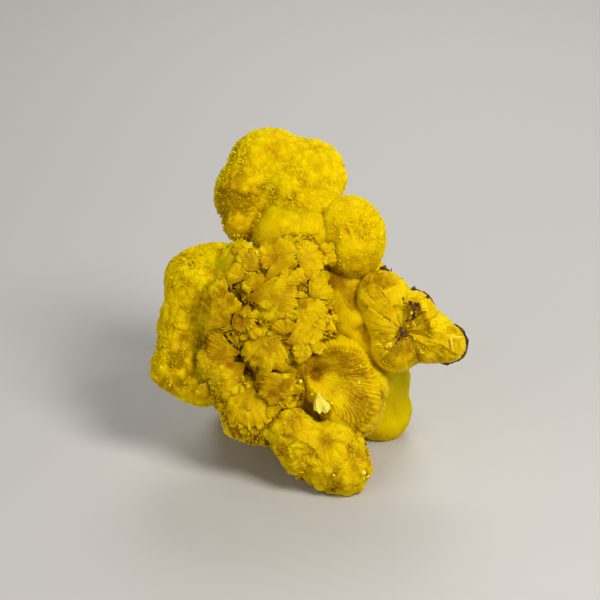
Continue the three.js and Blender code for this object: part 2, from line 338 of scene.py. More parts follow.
def skin(balls, melt, step, carve, middle=None):
    """Points, outward directions and triangles of the sheet round the balls, seen from their middle."""
    share = balls[:, 3] ** 3
    middle = (balls[:, :3] * share[:, None]).sum(axis=0) / share.sum() if middle is None else middle
    reach = (np.linalg.norm(balls[:, :3] - middle, axis=1) + balls[:, 3]).max() + 0.2
    ways, faces = globe(step, 0.72 * reach if len(balls) > 1 else reach)
    points, outward = march(middle, ways, reach, lambda p: np.maximum(outside(p, balls, melt), carve(p)))
    return points, outward, faces


# %% [markdown]
# ## Which way the plates run
# In a ball the plates stand on the surface and share a pole, as the segments of an orange do. Turned
# by a quarter they run round the pole instead, as the rings of an onion. Each ball gets a pole of its
# own and a turn between the two, and each bundle turns a little more.

# %% Plate direction
SWIRLS = np.random.default_rng(3)
POLES = unit(SWIRLS.normal(size=(len(EVERY_BALL), 3)))
TURNS = SWIRLS.uniform(-0.9, 0.9, len(EVERY_BALL))
print(len(POLES), "poles")


def own_ball(points):
    """The ball that each point belongs to, how far outside it the point is, and the same for the next."""
    away = distances(points, EVERY_BALL) - EVERY_BALL[:, 3]
    order = np.argpartition(away, 1, axis=1)[:, :2]
    pair = np.take_along_axis(away, order, axis=1)
    swap = pair[:, 0] > pair[:, 1]
    own = np.where(swap, order[:, 1], order[:, 0])
    return own, pair.min(axis=1), pair.max(axis=1)


def across_plates(points, outward, own, extra=0.0):
    """The direction across the plates' stack: round the ball's pole, turned within the surface."""
    round_pole = unit(np.cross(POLES[own], outward))
    along_pole = np.cross(outward, round_pole)
    angle = TURNS[own] + extra + 0.5 * bumps(points, 0.8, 3)
    return round_pole * np.cos(angle)[:, None] + along_pole * np.sin(angle)[:, None]


def bundle_grain(points, book):
    """Where points are in their bundle: mm across its leaves, mm along them, how far in, random number.

    Leaves spread from one end of the bundle to the other, so the width across is divided by a number
    that grows along the leaves.
    """
    first, second, place, shared = bundles(points, book)
    own, _, _ = own_ball(place)
    facing = unit(place - EVERY_BALL[own, :3])
    across = across_plates(place, facing, own, 2.4 * (shared - 0.5))
    along = np.cross(facing, across)
    v = np.einsum("ij,ij->i", points - place, along)
    u = np.einsum("ij,ij->i", points - place, across) / np.clip(1 + v / (1.3 * book), 0.4, 2.5)
    return u, v, np.clip(1.7 * (second - first), 0, 1), shared


def pole_grain(points, book, pole, axis, rings):
    """The same for leaves that radiate from one pole, or run round it in rings.

    The turn about the axis, times a middle distance, is the width across leaves that radiate.
    """
    first, second, _, shared = bundles(points, book)
    axis = unit(np.array(axis, float))
    east = unit(np.cross(axis, np.array([0.3, 0.2, 1.0])))
    north = np.cross(axis, east)
    aside = points - (np.array(pole) - ORIGIN)
    turn = np.arctan2(aside @ north, aside @ east) + 0.10 * bumps(points, 0.9, 6)
    far = np.linalg.norm(aside, axis=1) + 0.10 * bumps(points, 0.6, 7)
    inside = np.clip(1.7 * (second - first), 0, 1)
    return (far, turn, inside, 0 * shared) if rings else (turn, far, inside, 0 * shared)


# %% [markdown]
# ## How each region looks
# The crown, the left lobe and the back are waxy: their plates are so thin and tight that only low
# bundles and fine teeth show. On the front the plates are larger and untidy. Lengths are in mm:
# `step` is the grid's cell and `melt` how far balls melt into each other. `swell` is the height of wide
# bumps, `book` a bundle's width and `dome` its height, `leaf` and `edge` are the spacing and height of
# the plates' edges, and `tooth` is the height of single crystal tips. `waver` tells how much the plates
# wander, counted in plates. Where leaves radiate from a pole, `leaf` is an angle in radians.

# %% Looks
LOOK_COLUMNS = ("step", "melt", "swell", "book", "dome", "leaf", "edge", "tooth", "waver")
LOOK_ROWS = {
    "crown": [0.052, 0.16, 0.12, 0.5, 0.05, 0.12, 0.02, 0.09, 1.2],
    "shoulder": [0.044, 0.2, 0.06, 0.8, 0.01, 0.06, 0.014, 0.03, 0.6],
    "side_ball": [0.04, 0.12, 0.06, 0.6, 0.01, 0.065, 0.03, 0.07, 0.9],
    "left_lobe": [0.062, 0.18, 0.14, 0.5, 0.06, 0.12, 0.022, 0.1, 1.2],
    "bridge": [0.1, 0.22, 0.1, 0.8, 0.02, 0.15, 0.01, 0.04, 1.0],
    "back": [0.095, 0.15, 0.12, 0.7, 0.08, 0.2, 0.045, 0.08, 0.7],
    "hind_foot": [0.07, 0.15, 0.1, 0.6, 0.07, 0.18, 0.045, 0.08, 0.7],
    "belly": [0.12, 0.15, 0.1, 0.5, 0.07, 0.2, 0.045, 0.06, 0.7],
    "brow": [0.044, 0.14, 0.12, 0.7, 0.13, 0.085, 0.06, 0.02, 0.8],
    "cheek": [0.044, 0.12, 0.12, 0.6, 0.15, 0.1, 0.06, 0.02, 0.8],
    "middle": [0.044, 0.16, 0.12, 0.9, 0.14, 0.075, 0.06, 0.02, 0.8],
    "low": [0.048, 0.12, 0.11, 0.55, 0.13, 0.075, 0.055, 0.02, 0.8],
    "broken": [0.045, 0.15, 0.08, 0.5, 0.03, 0.085, 0.05, 0.03, 0.25],
    "foot": [0.045, 0.2, 0.14, 0.62, 0.11, 0.09, 0.055, 0.03, 1.2],
    "wing": [0.044, 0.12, 0.05, 0.7, 0.01, 0.08, 0.015, 0.02, 0.5],
}
LOOKS = {name: dict(zip(LOOK_COLUMNS, row)) for name, row in LOOK_ROWS.items()}
print(len(LOOKS), "regions have a look")
POLE_ROWS = {  # the pole from which a region's leaves spread, and the axis they turn about
    "shoulder": [[-0.6, -0.6, 7.6], [0.0, -0.5, -0.9]],
    "side_ball": [[0.3, -0.4, 8.7], [-0.75, -0.6, -0.3]],
    "broken": [[0.26, -2.74, 4.8], [0.34, -0.92, 0.2]],
    "wing": [[4.15, -2.3, 6.6], [0.15, -0.9, 0.41]],
    "foot": [[-0.35, -4.9, 3.4], [-0.35, -0.8, 0.5]],
    "brow": [[-1.6, -2.1, 8.6], [-0.1, -0.8, 0.5]],
    "middle": [[-2.3, -3.2, 7.2], [-0.3, -0.9, 0.2]],
    "cheek": [[-2.9, -2.8, 7.1], [0.3, -0.9, 0.3]],
    "low": [[-2.3, -3.9, 4.9], [0.0, -0.9, 0.3]],
}
POLE_LOOKS = {
    name: dict(pole=pole, axis=axis, rings=name == "foot") for name, (pole, axis) in POLE_ROWS.items()
}
WAXY = ("crown", "shoulder", "side_ball", "left_lobe", "bridge", "back", "hind_foot", "belly")
UNTIDY = ("brow", "cheek", "middle", "low", "broken")
BRISTLY = UNTIDY[:4]  # the untidy lumps that are not broken open
INNER_WEDGE, OUTER_WEDGE = 0.40, 0.27  # radians between the joints of the wing's crystals
OUTER_TILE = 0.8  # mm, the length of the wing's outer crystals
RING_RADIUS = 1.15  # mm from the foot's pole to which its leaves run in rings
HOLLOW_LEAF = 0.075  # radians between the leaves of the hollow's wall
BARE_EDGE = -0.35  # the value of hollow() at which its bare wall ends
FOOT_LEAF = 0.12  # mm between the foot's leaves beyond the rings
LEAF_LENGTH = 0.5  # mm along a leaf after which its height changes
TIP_SPACING = 0.19  # mm between single crystal tips
STREAK = 0.25  # mm along the plates for each unit of grain, as the material reads it


def facets(points):
    """The wing's crystals: how far each point is raised, its crystal's level, and how near a joint it is.

    Wedges radiate from the wing's root. Each has its own length, and further out a second set begins.
    Every crystal is a flat tile with its own level and tilt.
    """
    turn, far, _, _ = pole_grain(points, 1.0, **POLE_LOOKS["wing"])
    wedge = turn / INNER_WEDGE + 0.15 * bumps(points, 0.7, 51)
    length = 1.0 + 0.9 * scrambled(np.floor(wedge), 5.0)
    further = far > length
    wedge = np.where(further, turn / OUTER_WEDGE + 40, wedge)
    part = wedge - np.floor(wedge)
    ring = np.where(further, 1 + np.floor((far - length) / OUTER_TILE), 0)
    level = scrambled(np.floor(wedge), ring + 23)
    tilt = 2 * scrambled(np.floor(wedge), ring + 11) - 1
    width = np.where(further, OUTER_WEDGE, INNER_WEDGE) * far
    joint = 1 - smooth_step(np.minimum(part, 1 - part) * width, 0.01, 0.05)
    rise = 0.30 * tilt * (part - 0.5) * np.clip(width, 0, 0.6) + 0.12 * (level - 0.5) - 0.02 * joint
    return rise, level, joint


def weather(points, outward, look, pole):
    """Moves a skin's points along their outward directions.

    The rise is the sum of wide and narrow bumps, the bundle's dome, the leaf's edge and single crystal
    tips. Every leaf has a height of its own, and its edge is a ridge between two valleys. On the
    hollow's wall the rise is mostly the leaves' edges. Returns the points, their heights from 0 to 1,
    which colour them with painted shade where low and painted light where high, their grain, and how
    deep each lies between bundles.
    """
    bent = points + 0.10 * np.stack([bumps(points, 0.5, 20 + k) for k in range(3)], axis=1)
    if pole is None:
        u, v, inside, shared = bundle_grain(bent, look["book"])
    else:
        u, v, inside, shared = pole_grain(bent, look["book"], **pole)
    number = u / look["leaf"] + 9 * shared
    if pole is not None and pole["rings"]:
        other_u, other_v, _, other = bundle_grain(bent, look["book"])
        ringed = u < RING_RADIUS
        number = np.where(ringed, number, other_u / FOOT_LEAF + 9 * other)
        v = np.where(ringed, v, other_v)
    bare = hollow(points) > BARE_EDGE
    radiating, far, _, _ = pole_grain(points, 1.0, **POLE_LOOKS["broken"])
    number = np.where(bare, radiating / HOLLOW_LEAF, number) + look["waver"] * bumps(points, 0.3, 4)
    v = np.where(bare, far, v)
    leaf = np.floor(number)
    own_height = 0.35 + 0.65 * scrambled(leaf, np.floor(20 * shared) + np.floor(v / LEAF_LENGTH))
    crest = (1 - np.abs(2 * (number - leaf) - 1)) * own_height
    wide = bumps(points, 1.1, 1)
    narrow = bumps(points, 0.45, 2)
    rise = look["swell"] * (wide + 0.6 * narrow)
    rise += look["dome"] * (inside - 0.6 + 1.1 * (shared - 0.5)) + look["edge"] * (crest - 0.3)
    first, second, _, chance = bundles(points + 0.05 * outward, TIP_SPACING)
    point = np.clip(1.5 * (second - first), 0, 1) * (0.3 + 0.7 * chance)
    rise += look["tooth"] * (point - 0.25) * (0.30 + 0.70 * smooth_step(bumps(points, 0.8, 5), -0.3, 0.4))
    rise = np.where(bare, 0.35 * rise + 0.03 * (crest - 0.4) * np.clip(far, 0.2, 1.5), rise)
    # Painted shade and light: the colour height is lighter on bumps, leaf edges, bundle middles and crystal
    # tips, and darker low between them.
    height = 0.5 + 0.25 * narrow + 0.25 * (inside - 0.5) + 0.25 * (crest - 0.35) + 0.20 * (point - 0.3)
    height = np.where(bare, 0.45 + 0.6 * (crest - 0.4), height)
    if pole is POLE_LOOKS["wing"]:
        raised, level, joint = facets(points)
        front = smooth_step(outward @ unit(np.array(pole["axis"])), 0.2, 0.6)
        rise += raised * front
        height += front * (0.45 * (level - 0.5) - 0.30 * joint)
    grain = np.stack([number, v / STREAK, 30 * shared], axis=1)
    deep = smooth_step(0.45 - inside + 0.35 * bumps(points, 0.25, 13), 0.0, 0.45)
    return points + outward * rise[:, None], height, grain, deep


# %% [markdown]
# ## Where brown stains and painted shade sit
# Where two balls meet, shade is painted in as a darker, browner colour. Some hollows also hold a
# brown stain from the host rock.

# %% Stains
STAINS = placed([
    [-2.52, -2.0, 9.85, 0.42], [-3.74, -2.35, 8.49, 0.38], [-3.22, -2.47, 8.16, 0.42],
    [-2.96, -2.93, 7.41, 0.45], [-0.83, -1.9, 9.34, 0.38], [-0.13, -1.89, 9.28, 0.36],
    [-0.78, -3.35, 6.65, 0.36], [-0.13, -2.49, 6.25, 0.4], [-2.3, -3.85, 6.02, 0.26],
    [-2.58, -3.34, 5.1, 0.34], [-3.45, -3.29, 5.66, 0.42], [-1.0, -4.25, 4.91, 0.42],
    [-0.44, -4.13, 4.52, 0.36], [-0.22, -3.8, 3.96, 0.42], [0.18, -3.38, 3.42, 0.4],
    [0.74, -3.81, 3.39, 0.32], [0.78, -4.75, 2.54, 0.48], [1.13, -5.06, 2.41, 0.42],
    [1.19, -0.94, 8.34, 0.55], [-4.41, -2.8, 6.49, 0.34], [-1.57, -4.34, 4.62, 0.34],
    [2.07, -1.4, 7.68, 0.34], [0.45, -3.25, 5.0, 0.45], [0.95, -3.6, 4.75, 0.3], [4.05, -2.6, 6.7, 0.26],
    [4.3, -2.6, 7.2, 0.24],
])
print(len(STAINS), "brown stains")


def crevice(points, width):
    """One where two balls meet, falling to nothing over that width: where painted shade goes."""
    _, _, next_away = own_ball(points)
    return np.exp(-np.maximum(next_away, 0) / width)


def hollow_shade(points):
    """The olive-brown shade painted on the hollow's wall: most near its root and on the upper right."""
    from_root = points - ROOT
    right = from_root @ HOLLOW_RIGHT
    up = from_root @ HOLLOW_UP
    far = np.linalg.norm(from_root, axis=1)
    upper = smooth_step(up + 0.12 * right + 0.10 * bumps(points, 0.3, 14), -0.30, 0.10)
    inside = smooth_step(hollow(points), -0.42, -0.15)
    olive = 0.74 - 0.14 * far + 0.20 * bumps(points, 0.4, 14)
    return inside * np.maximum(upper * olive, 1 - smooth_step(far, 0.15, 0.75))


def stained(points):
    """How brown the stains make each point: one at a stain's middle, with a ragged edge."""
    near = (distances(points, STAINS) / STAINS[:, 3]).min(axis=1) + 0.45 * bumps(points, 0.20, 12)
    return 1 - smooth_step(near, 0.30, 1.20)


# %% [markdown]
# Wider patches are only deeper or brighter in colour: painted shade makes some parts ochre, and
# painted light makes others canary.

# %% Painted light and shade
LIGHT_AND_SHADE_PATCHES = placed([
    [-3.3, 1.75, 10.9, 1.5, 0.75], [-2.1, 1.4, 11.6, 0.8, 0.34], [-1.95, 1.0, 10.75, 0.6, 0.3],
    [-3.2, 2.4, 12.0, 0.9, 0.18], [0.0, 1.0, 11.6, 1.2, 0.1], [-5.9, -1.6, 4.4, 1.6, 0.65],
    [-5.3, -1.6, 6.0, 1.4, 0.2], [-3.9, -0.9, 8.3, 0.9, 0.06], [2.5, -1.05, 8.9, 1.2, 0.32],
    [1.25, -0.9, 8.5, 0.9, 0.75], [0.9, -0.6, 9.9, 0.5, 0.45], [1.9, -1.5, 7.9, 0.7, 0.45],
    [2.35, -1.5, 6.7, 0.5, 0.4], [0.5, 0.6, 10.9, 0.5, 0.2], [-3.6, -2.6, 6.4, 1.2, 0.12],
    [3.1, -3.0, 3.4, 0.9, 0.34], [-1.2, -5.1, 2.1, 0.9, 0.24], [2.45, -4.4, 3.75, 1.15, 0.8],
    [-0.75, -4.75, 3.45, 1.0, 0.45], [4.9, -2.9, 5.6, 1.0, 0.4], [4.2, -3.2, 5.9, 0.9, 0.48],
    [3.2, -1.9, 8.0, 1.2, 0.28], [0.9, -5.05, 2.54, 0.6, 0.4], [1.9, -1.9, 6.6, 1.2, 0.08],
    [3.6, -0.4, 2.2, 2.0, -0.6], [-0.9, -4.6, 3.6, 0.8, 0.4], [2.1, -5.4, 1.6, 0.9, 0.15],
    [4.6, -2.6, 7.4, 1.2, 0.15], [-0.1, -1.9, 9.6, 1.0, -0.2], [0.4, -2.4, 8.0, 1.2, -0.2],
    [-0.2, -2.6, 7.2, 0.9, -0.25], [0.6, -3.95, 4.5, 0.6, -0.5], [1.4, -3.9, 4.1, 0.6, -0.4],
    [-1.0, -3.3, 8.5, 0.8, 0.3], [-4.7, -0.8, 9.2, 1.3, -0.25], [-3.2, 1.65, 12.1, 1.0, 0.45],
    [6.5, -2.8, 6.2, 0.4, 0.35], [2.3, -5.1, 1.9, 0.8, 0.35], [1.9, -3.1, 4.9, 0.9, 0.18],
    [-5.8, -2.7, 4.8, 0.9, 0.35], [-4.0, -2.9, 6.2, 0.9, 0.45], [-1.7, -3.9, 6.6, 0.8, 0.25],
    [-4.0, -2.3, 7.6, 0.9, 0.25], [-2.0, -3.9, 6.4, 0.9, -0.15], [-3.0, -3.0, 6.6, 1.2, 0.22],
    [-2.6, -3.6, 5.2, 1.0, 0.3], [-1.3, -3.9, 4.6, 0.8, 0.22],
])
print(len(LIGHT_AND_SHADE_PATCHES), "patches of deeper or brighter yellow")


def painted_light_and_shade(points):
    """How much painted shade deepens the colour, from broad soft patches [x, y, z, radius, strength].

    The strongest patch of painted shade and the strongest of painted light, of negative strength, are
    added.
    """
    near = distances(points, LIGHT_AND_SHADE_PATCHES) / LIGHT_AND_SHADE_PATCHES[:, 3] + 0.20 * bumps(points, 0.5, 17)[:, None]
    each = (1 - smooth_step(near, 0.2, 1.1)) * LIGHT_AND_SHADE_PATCHES[:, 4]
    return each.max(axis=1) + each.min(axis=1)


# %% [markdown]
# ## From arrays to objects
# One helper puts points and triangles into a mesh. It stores how high each point stands among its
# neighbours, how brown it is from stain and painted shade, and its place in its bundle, which the
# material reads.

# %% Mesh helper
def add_object(name, data):
    """A new object in the scene for that mesh, lamp or camera."""
    made = bpy.data.objects.new(name, data)
    bpy.context.collection.objects.link(made)
    return made


def make_piece(name, points, faces, traits, material, smooth):
    """A mesh object from millimetre arrays.

    The traits are its height, stain and painted shade, and grain at each point.
    """
    points = points.copy()
    points[:, 2] = np.maximum(points[:, 2], 0.0)  # nothing goes under the resting plane
    height, stain_and_shade, grain = traits
    mesh = bpy.data.meshes.new(name)
    mesh.vertices.add(len(points))
    mesh.vertices.foreach_set("co", (points * MM).ravel())
    mesh.loops.add(faces.size)
    mesh.loops.foreach_set("vertex_index", faces.ravel())
    mesh.polygons.add(len(faces))
    mesh.polygons.foreach_set("loop_start", np.arange(0, faces.size, 3))
    mesh.polygons.foreach_set("use_smooth", np.full(len(faces), smooth))
    mesh.update(calc_edges=True)
    mesh.validate()
    for label, values in (("height", height), ("stain_and_shade", stain_and_shade)):
        layer = mesh.attributes.new(label, "FLOAT", "POINT")
        layer.data.foreach_set("value", np.clip(values, 0, 1).astype(np.float32))
    layer = mesh.attributes.new("grain", "FLOAT_VECTOR", "POINT")
    layer.data.foreach_set("vector", grain.astype(np.float32).ravel())
    mesh.materials.append(material)
    piece = add_object(name, mesh)
    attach(piece, "root")
    print(name, len(faces), "triangles")
    return piece


# %% [markdown]
# ## The yellow of the crystals
# Vanuralite is a strong canary yellow, waxy to pearly. Light sinks a fraction of a millimetre into it,
# so shadows stay warm. The recesses between the plates are ochre to brown, partly a stain and partly
# painted shade. Fine streaks run along each bundle's plates.

# %% Crystal material
def node_helper(material):
    """Shorthand to add a node with settings and inputs to a material's tree."""
    tree = material.node_tree

    def add(kind, inputs=None, **settings):
        node = tree.nodes.new(kind)
        for key, value in settings.items():
            setattr(node, key, value)
        for key, value in (inputs or {}).items():
            if isinstance(value, bpy.types.NodeSocket):
                tree.links.new(value, node.inputs[key])
            else:
                node.inputs[key].default_value = value
        return node

    return add


def colour_ramp(add, factor, stops):
    """A colour ramp node with those (position, colour) stops."""
    ramp = add("ShaderNodeValToRGB", {"Fac": factor})
    while len(ramp.color_ramp.elements) < len(stops):
        ramp.color_ramp.elements.new(0.5)
    for element, (position, colour) in zip(ramp.color_ramp.elements, stops):
        element.position = position
        element.color = (*colour, 1.0)
    return ramp.outputs["Color"]


def blend_colours(add, factor, first, second):
    """A mix node between two colours, which may be sockets or plain colours."""
    mix = add("ShaderNodeMix", {0: factor}, data_type="RGBA")
    for place, colour in ((6, first), (7, second)):
        if isinstance(colour, bpy.types.NodeSocket):
            mix.id_data.links.new(colour, mix.inputs[place])
        else:
            mix.inputs[place].default_value = (*colour, 1.0)
    return mix.outputs[2]


BROWN = (0.250, 0.085, 0.001)
OLIVE_SHADE = (0.340, 0.215, 0.001)
OCHRE = (0.480, 0.285, 0.001)
GOLD = (0.690, 0.462, 0.001)
CANARY = (0.830, 0.630, 0.001)
# The palest colour is a painted highlight for glints, bright edges and one fan.
PALE_HIGHLIGHT = (0.940, 0.770, 0.100)


def start_material(name):
    """A new material, with its node shorthand and its shader."""
    material = bpy.data.materials.new(name)
    material.use_nodes = True
    return material, node_helper(material), material.node_tree.nodes["Principled BSDF"]


def maths(add, operation, *values):
    """A maths node on those values, which may be sockets or numbers."""
    return add("ShaderNodeMath", dict(enumerate(values)), operation=operation).outputs[0]


def noise(add, place, scale, detail):
    """Smooth noise from 0 to 1 with that many bumps for each unit of place."""
    return add("ShaderNodeTexNoise", {"Vector": place, "Scale": scale, "Detail": detail}).outputs["Fac"]


def stretch(add, value, low, high):
    """Zero at low and one at high, in a straight line."""
    return add("ShaderNodeMapRange", {"Value": value, "From Min": low, "From Max": high}).outputs[0]


def finish_material(material, add, shader, colour, tall, relief, settings):
    """Plugs in the colour, and a bump map of (strength, height in metres), and sets the plain values."""
    links = material.node_tree.links
    links.new(colour, shader.inputs["Base Color"])
    bump = add("ShaderNodeBump", {"Height": tall, "Strength": relief[0], "Distance": relief[1]})
    links.new(bump.outputs["Normal"], shader.inputs["Normal"])
    for socket, value in settings.items():
        shader.inputs[socket].default_value = value
    return material


def crystal_material(name, roughness, specular, streak, depth, stops):
    """Yellow crystal, coloured by height, stain and painted shade, with mottling, streaks and fine bumps.

    The level is the height, plus a share of the mottling and of the streaks, and the stops give the
    colour at each level; low levels are mostly painted shade. Stain and painted shade blend in a brown
    that is darkest at low levels. Light sinks in to the given depth in mm, which is less in single
    plates than in solid lumps.
    """
    material, add, shader = start_material(name)
    place = add("ShaderNodeTexCoord").outputs["Object"]
    height = add("ShaderNodeAttribute", attribute_name="height").outputs["Fac"]
    stain_and_shade = add("ShaderNodeAttribute", attribute_name="stain_and_shade").outputs["Fac"]
    grain = add("ShaderNodeAttribute", attribute_name="grain").outputs["Vector"]
    mottle = noise(add, place, 700.0, 4.0)
    lines = noise(add, grain, 1.7, 3.0)
    uneven = maths(add, "SUBTRACT", mottle, 0.5)
    thready = maths(add, "SUBTRACT", lines, 0.5)
    level = maths(add, "MULTIPLY_ADD", uneven, 0.30, height)
    level = maths(add, "MULTIPLY_ADD", thready, 0.9 * streak, level)
    yellow = colour_ramp(add, level, stops)
    # Brown from stains and from painted shade, roughened by the mottling and the streaks.
    dirt_and_shade = maths(add, "MULTIPLY_ADD", uneven, 0.9, stain_and_shade)
    dirt_and_shade = maths(add, "MULTIPLY_ADD", thready, -0.5, dirt_and_shade)
    dirt_and_shade = stretch(add, dirt_and_shade, 0.12, 0.85)
    brown = colour_ramp(add, level, [(0.1, BROWN), (0.95, OCHRE)])
    colour = blend_colours(add, dirt_and_shade, yellow, brown)
    fine = noise(add, place, 9000.0, 3.0)
    tall = maths(add, "MULTIPLY_ADD", lines, 1.6 * streak, fine)
    settings = {
        "Roughness": roughness, "Specular IOR Level": specular, "IOR": 1.6,
        "Subsurface Weight": 0.65, "Subsurface Radius": (1.0, 0.52, 0.03), "Subsurface Scale": depth * MM,
    }
    return finish_material(material, add, shader, colour, tall, (0.5, 0.03 * MM), settings)


# Where painted shade pushes the level below ochre, the solid lumps turn olive.
SOLID_STOPS = [(0.0, OLIVE_SHADE), (0.08, OCHRE)]
WAXY_STOPS = SOLID_STOPS + [(0.31, GOLD), (0.7, CANARY)]
BLADED_STOPS = SOLID_STOPS + [(0.36, GOLD), (0.95, CANARY)]
LEAFY_STOPS = [(0.0, OCHRE), (0.35, GOLD), (0.95, CANARY)]
HIGHLIGHT_STOPS = [(0.0, GOLD), (0.3, CANARY), (0.75, PALE_HIGHLIGHT)]
waxy = crystal_material("waxy_vanuralite", 0.65, 0.01, 0.25, 0.45, WAXY_STOPS)
bladed = crystal_material("bladed_vanuralite", 0.45, 0.02, 0.8, 0.40, BLADED_STOPS)
leafy = crystal_material("leafy_vanuralite", 0.45, 0.02, 0.8, 0.05, LEAFY_STOPS)
# Painted highlight: a pale, glossier copy of the crystal, whose gloss also reflects the lamps.
painted_highlight = crystal_material("painted_highlight_vanuralite", 0.30, 0.15, 0.5, 0.02, HIGHLIGHT_STOPS)

# %% [markdown]
# The rock is dull: two browns in blotches, with paler mineral grains here and there.

# %% Host rock material
DARK_ROCK = (0.035, 0.012, 0.002)
BROWN_ROCK = (0.15, 0.058, 0.010)
PALE_ROCK = (0.36, 0.21, 0.06)


def rock_material():
    """Brown rock, with paler grains where the nearest of many scattered spots is close."""
    material, add, shader = start_material("brown_host_rock")
    place = add("ShaderNodeTexCoord").outputs["Object"]
    blotch = noise(add, place, 2500.0, 5.0)
    dark = colour_ramp(add, blotch, [(0.35, DARK_ROCK), (0.65, BROWN_ROCK)])
    spots = add("ShaderNodeTexVoronoi", {"Vector": place, "Scale": 6000.0}).outputs["Distance"]
    pale = maths(add, "MULTIPLY", stretch(add, spots, 0.28, 0.12), 0.55)
    colour = blend_colours(add, pale, dark, PALE_ROCK)
    fine = noise(add, place, 8000.0, 4.0)
    settings = {"Roughness": 0.75, "Specular IOR Level": 0.35}
    return finish_material(material, add, shader, colour, fine, (0.7, 0.05 * MM), settings)


brown_rock = rock_material()
print("materials", [m.name for m in bpy.data.materials])

# %% [markdown]
# ## The skins
# Each region is one closed skin. The wing is cut off where it sits on the rock.

# %% Skins of every region
WING_ROOT = np.array([4.15, -2.50, 6.66]) - ORIGIN
WING_FACE = unit(np.array([0.10, -0.86, 0.50]))
WING_RIGHT = unit(np.cross(np.array([0, 0, 1.0]), WING_FACE))
WING_UP = np.cross(WING_FACE, WING_RIGHT)
ROCK_AT = np.array([4.7, -1.35, 6.6]) - ORIGIN
ROCK_WAY = unit(np.array([0.15, 0.90, -0.41]))
BEHIND_ROOT = ROOT + np.array([0.20, 1.30, -0.35])  # sees every wall of the hollow
COARSER = 1.0
pieces = []


def wing_cut(points):
    """Positive behind the plane that the wing's crystals grew on, and in front of its open face.

    The face is a shallow bowl about the root of the crystals. Further than 1 mm from the root the cut
    rises steeply and so ends.
    """
    from_root = points - WING_ROOT
    ahead = from_root @ WING_FACE
    aside = np.linalg.norm(from_root - ahead[:, None] * WING_FACE, axis=1)
    bowl = ahead + 0.02 - 0.16 * aside - 0.60 * np.maximum(aside - 1.0, 0)
    return np.maximum(bowl, (points - ROCK_AT) @ ROCK_WAY)


def skin_traits(name, points, height, grain, deep):
    """Height, stain and grain of a skin: painted shade lowers and browns crevices, pits and the hollow."""
    untidy = name in UNTIDY
    # Painted shade: joints between balls and small pits are coloured darker and browner.
    dark = crevice(points, 0.14) * (0.60 if untidy else 0.25)
    dark = np.maximum(dark, 0.9 * smooth_step(deep_in_pit(points), -0.02, 0.03))
    stain_and_shade = 0.75 * dark * smooth_step(bumps(points, 0.9, 15), -0.5, 0.6)
    stain_and_shade = np.maximum(stained(points) * (1.0 if untidy else 0.4), stain_and_shade)
    # Deep between the bundles of the front's lumps the colour is browner, partly stain and partly painted
    # shade.
    if name in BRISTLY:
        stain_and_shade = np.maximum(stain_and_shade, 0.90 * deep * smooth_step(bumps(points, 1.2, 25), -0.4, 0.5))
    # Painted shade on the hollow's wall is added to the brown.
    shade = hollow_shade(points)
    # The colour height is lowered by painted shade in joints, pits and the hollow, and raised or lowered by
    # the broad patches of painted light and shade.
    lift = (0.03 if name in WAXY else 0.08) - 0.30 * dark - 0.10 * shade - 0.9 * painted_light_and_shade(points)
    return height + lift, np.maximum(stain_and_shade, shade), grain


for name, look in LOOKS.items():
    carve = wing_cut if name == "wing" else carved
    middle = BEHIND_ROOT if name == "broken" else None
    balls = placed(REGIONS[name])
    points, outward, faces = skin(balls, look["melt"], look["step"] * COARSER, carve, middle)
    points, height, grain, deep = weather(points, outward, look, POLE_LOOKS.get(name))
    traits = skin_traits(name, points, height, grain, deep)
    material = waxy if name in WAXY else bladed
    pieces.append(make_piece(name, points, faces, traits, material, True))

# %% [markdown]
# ## Crystal plates
# A vanuralite crystal is a thin plate. Ours is a flattened ring of points carried from root to tip,
# widest in the middle and cut off at the tip. All plates of a piece are computed at once.

# %% Plates
BLADE = np.array([[0.0, 0.70, 1.0], [0.50, 1.0, 1.0], [0.85, 0.86, 0.8], [1.0, 0.45, 0.3]])
SUNK = 0.14  # mm of every blade and fan that are under the surface


def plates(root, up, stack, size, bend, lean, sides, rows):
    """Points, triangles and traits of many plates, each with a size (length, width, thickness) in mm.

    A plate starts at its root and rises along up, and its broad face looks along stack. Its rows say
    how far up each ring of points is, how wide and how thick, as shares of the size. Bend pushes its
    side edges along stack by that share of the width times the square of how far aside they are. Lean
    does the same to its tip, with the length.
    """
    side = unit(np.cross(up, stack))
    stack = unit(np.cross(side, up))
    turn = 2 * np.pi * np.arange(sides) / sides
    length, width, thick = (values[:, None, None] for values in size)
    across = np.cos(turn) * rows[:, 1:2]
    through = np.sin(turn) * rows[:, 2:3]
    rise = rows[:, :1] * (1 - 0.16 * across**2)
    sideways = across * 0.5 * width
    facing = through * 0.5 * thick
    facing = facing + across**2 * bend[:, None, None] * width
    facing = facing + rise**2 * lean[:, None, None] * length
    upward = rise * length
    points = (
        root[:, None, None]
        + sideways[..., None] * side[:, None, None]
        + facing[..., None] * stack[:, None, None]
        + upward[..., None] * up[:, None, None]
    )
    levels = len(rows)
    index = np.arange(levels * sides).reshape(levels, sides)
    walls = halves(*cells(index, np.roll(index, -1, axis=1)))
    ring = np.arange(1, sides - 1)
    cap = np.stack([0 * ring, ring, ring + 1], axis=1)
    one = np.vstack([walls, cap[:, ::-1], cap + (levels - 1) * sides])
    faces = one[None] + levels * sides * np.arange(len(root))[:, None, None]
    lucky = scrambled(np.arange(len(root)), 3.0)[:, None, None]
    shape = (len(root), levels, sides)
    # Painted shade and light: each plate is darker at its root and lighter at its tip.
    height = np.broadcast_to(rows[:, :1], shape) + 0.25 * (lucky - 0.5)
    grain = np.stack([sideways / 0.10, upward / 0.5, np.broadcast_to(40 * lucky, shape)], axis=-1)
    return points.reshape(-1, 3), faces.reshape(-1, 3), height.reshape(-1), grain.reshape(-1, 3)


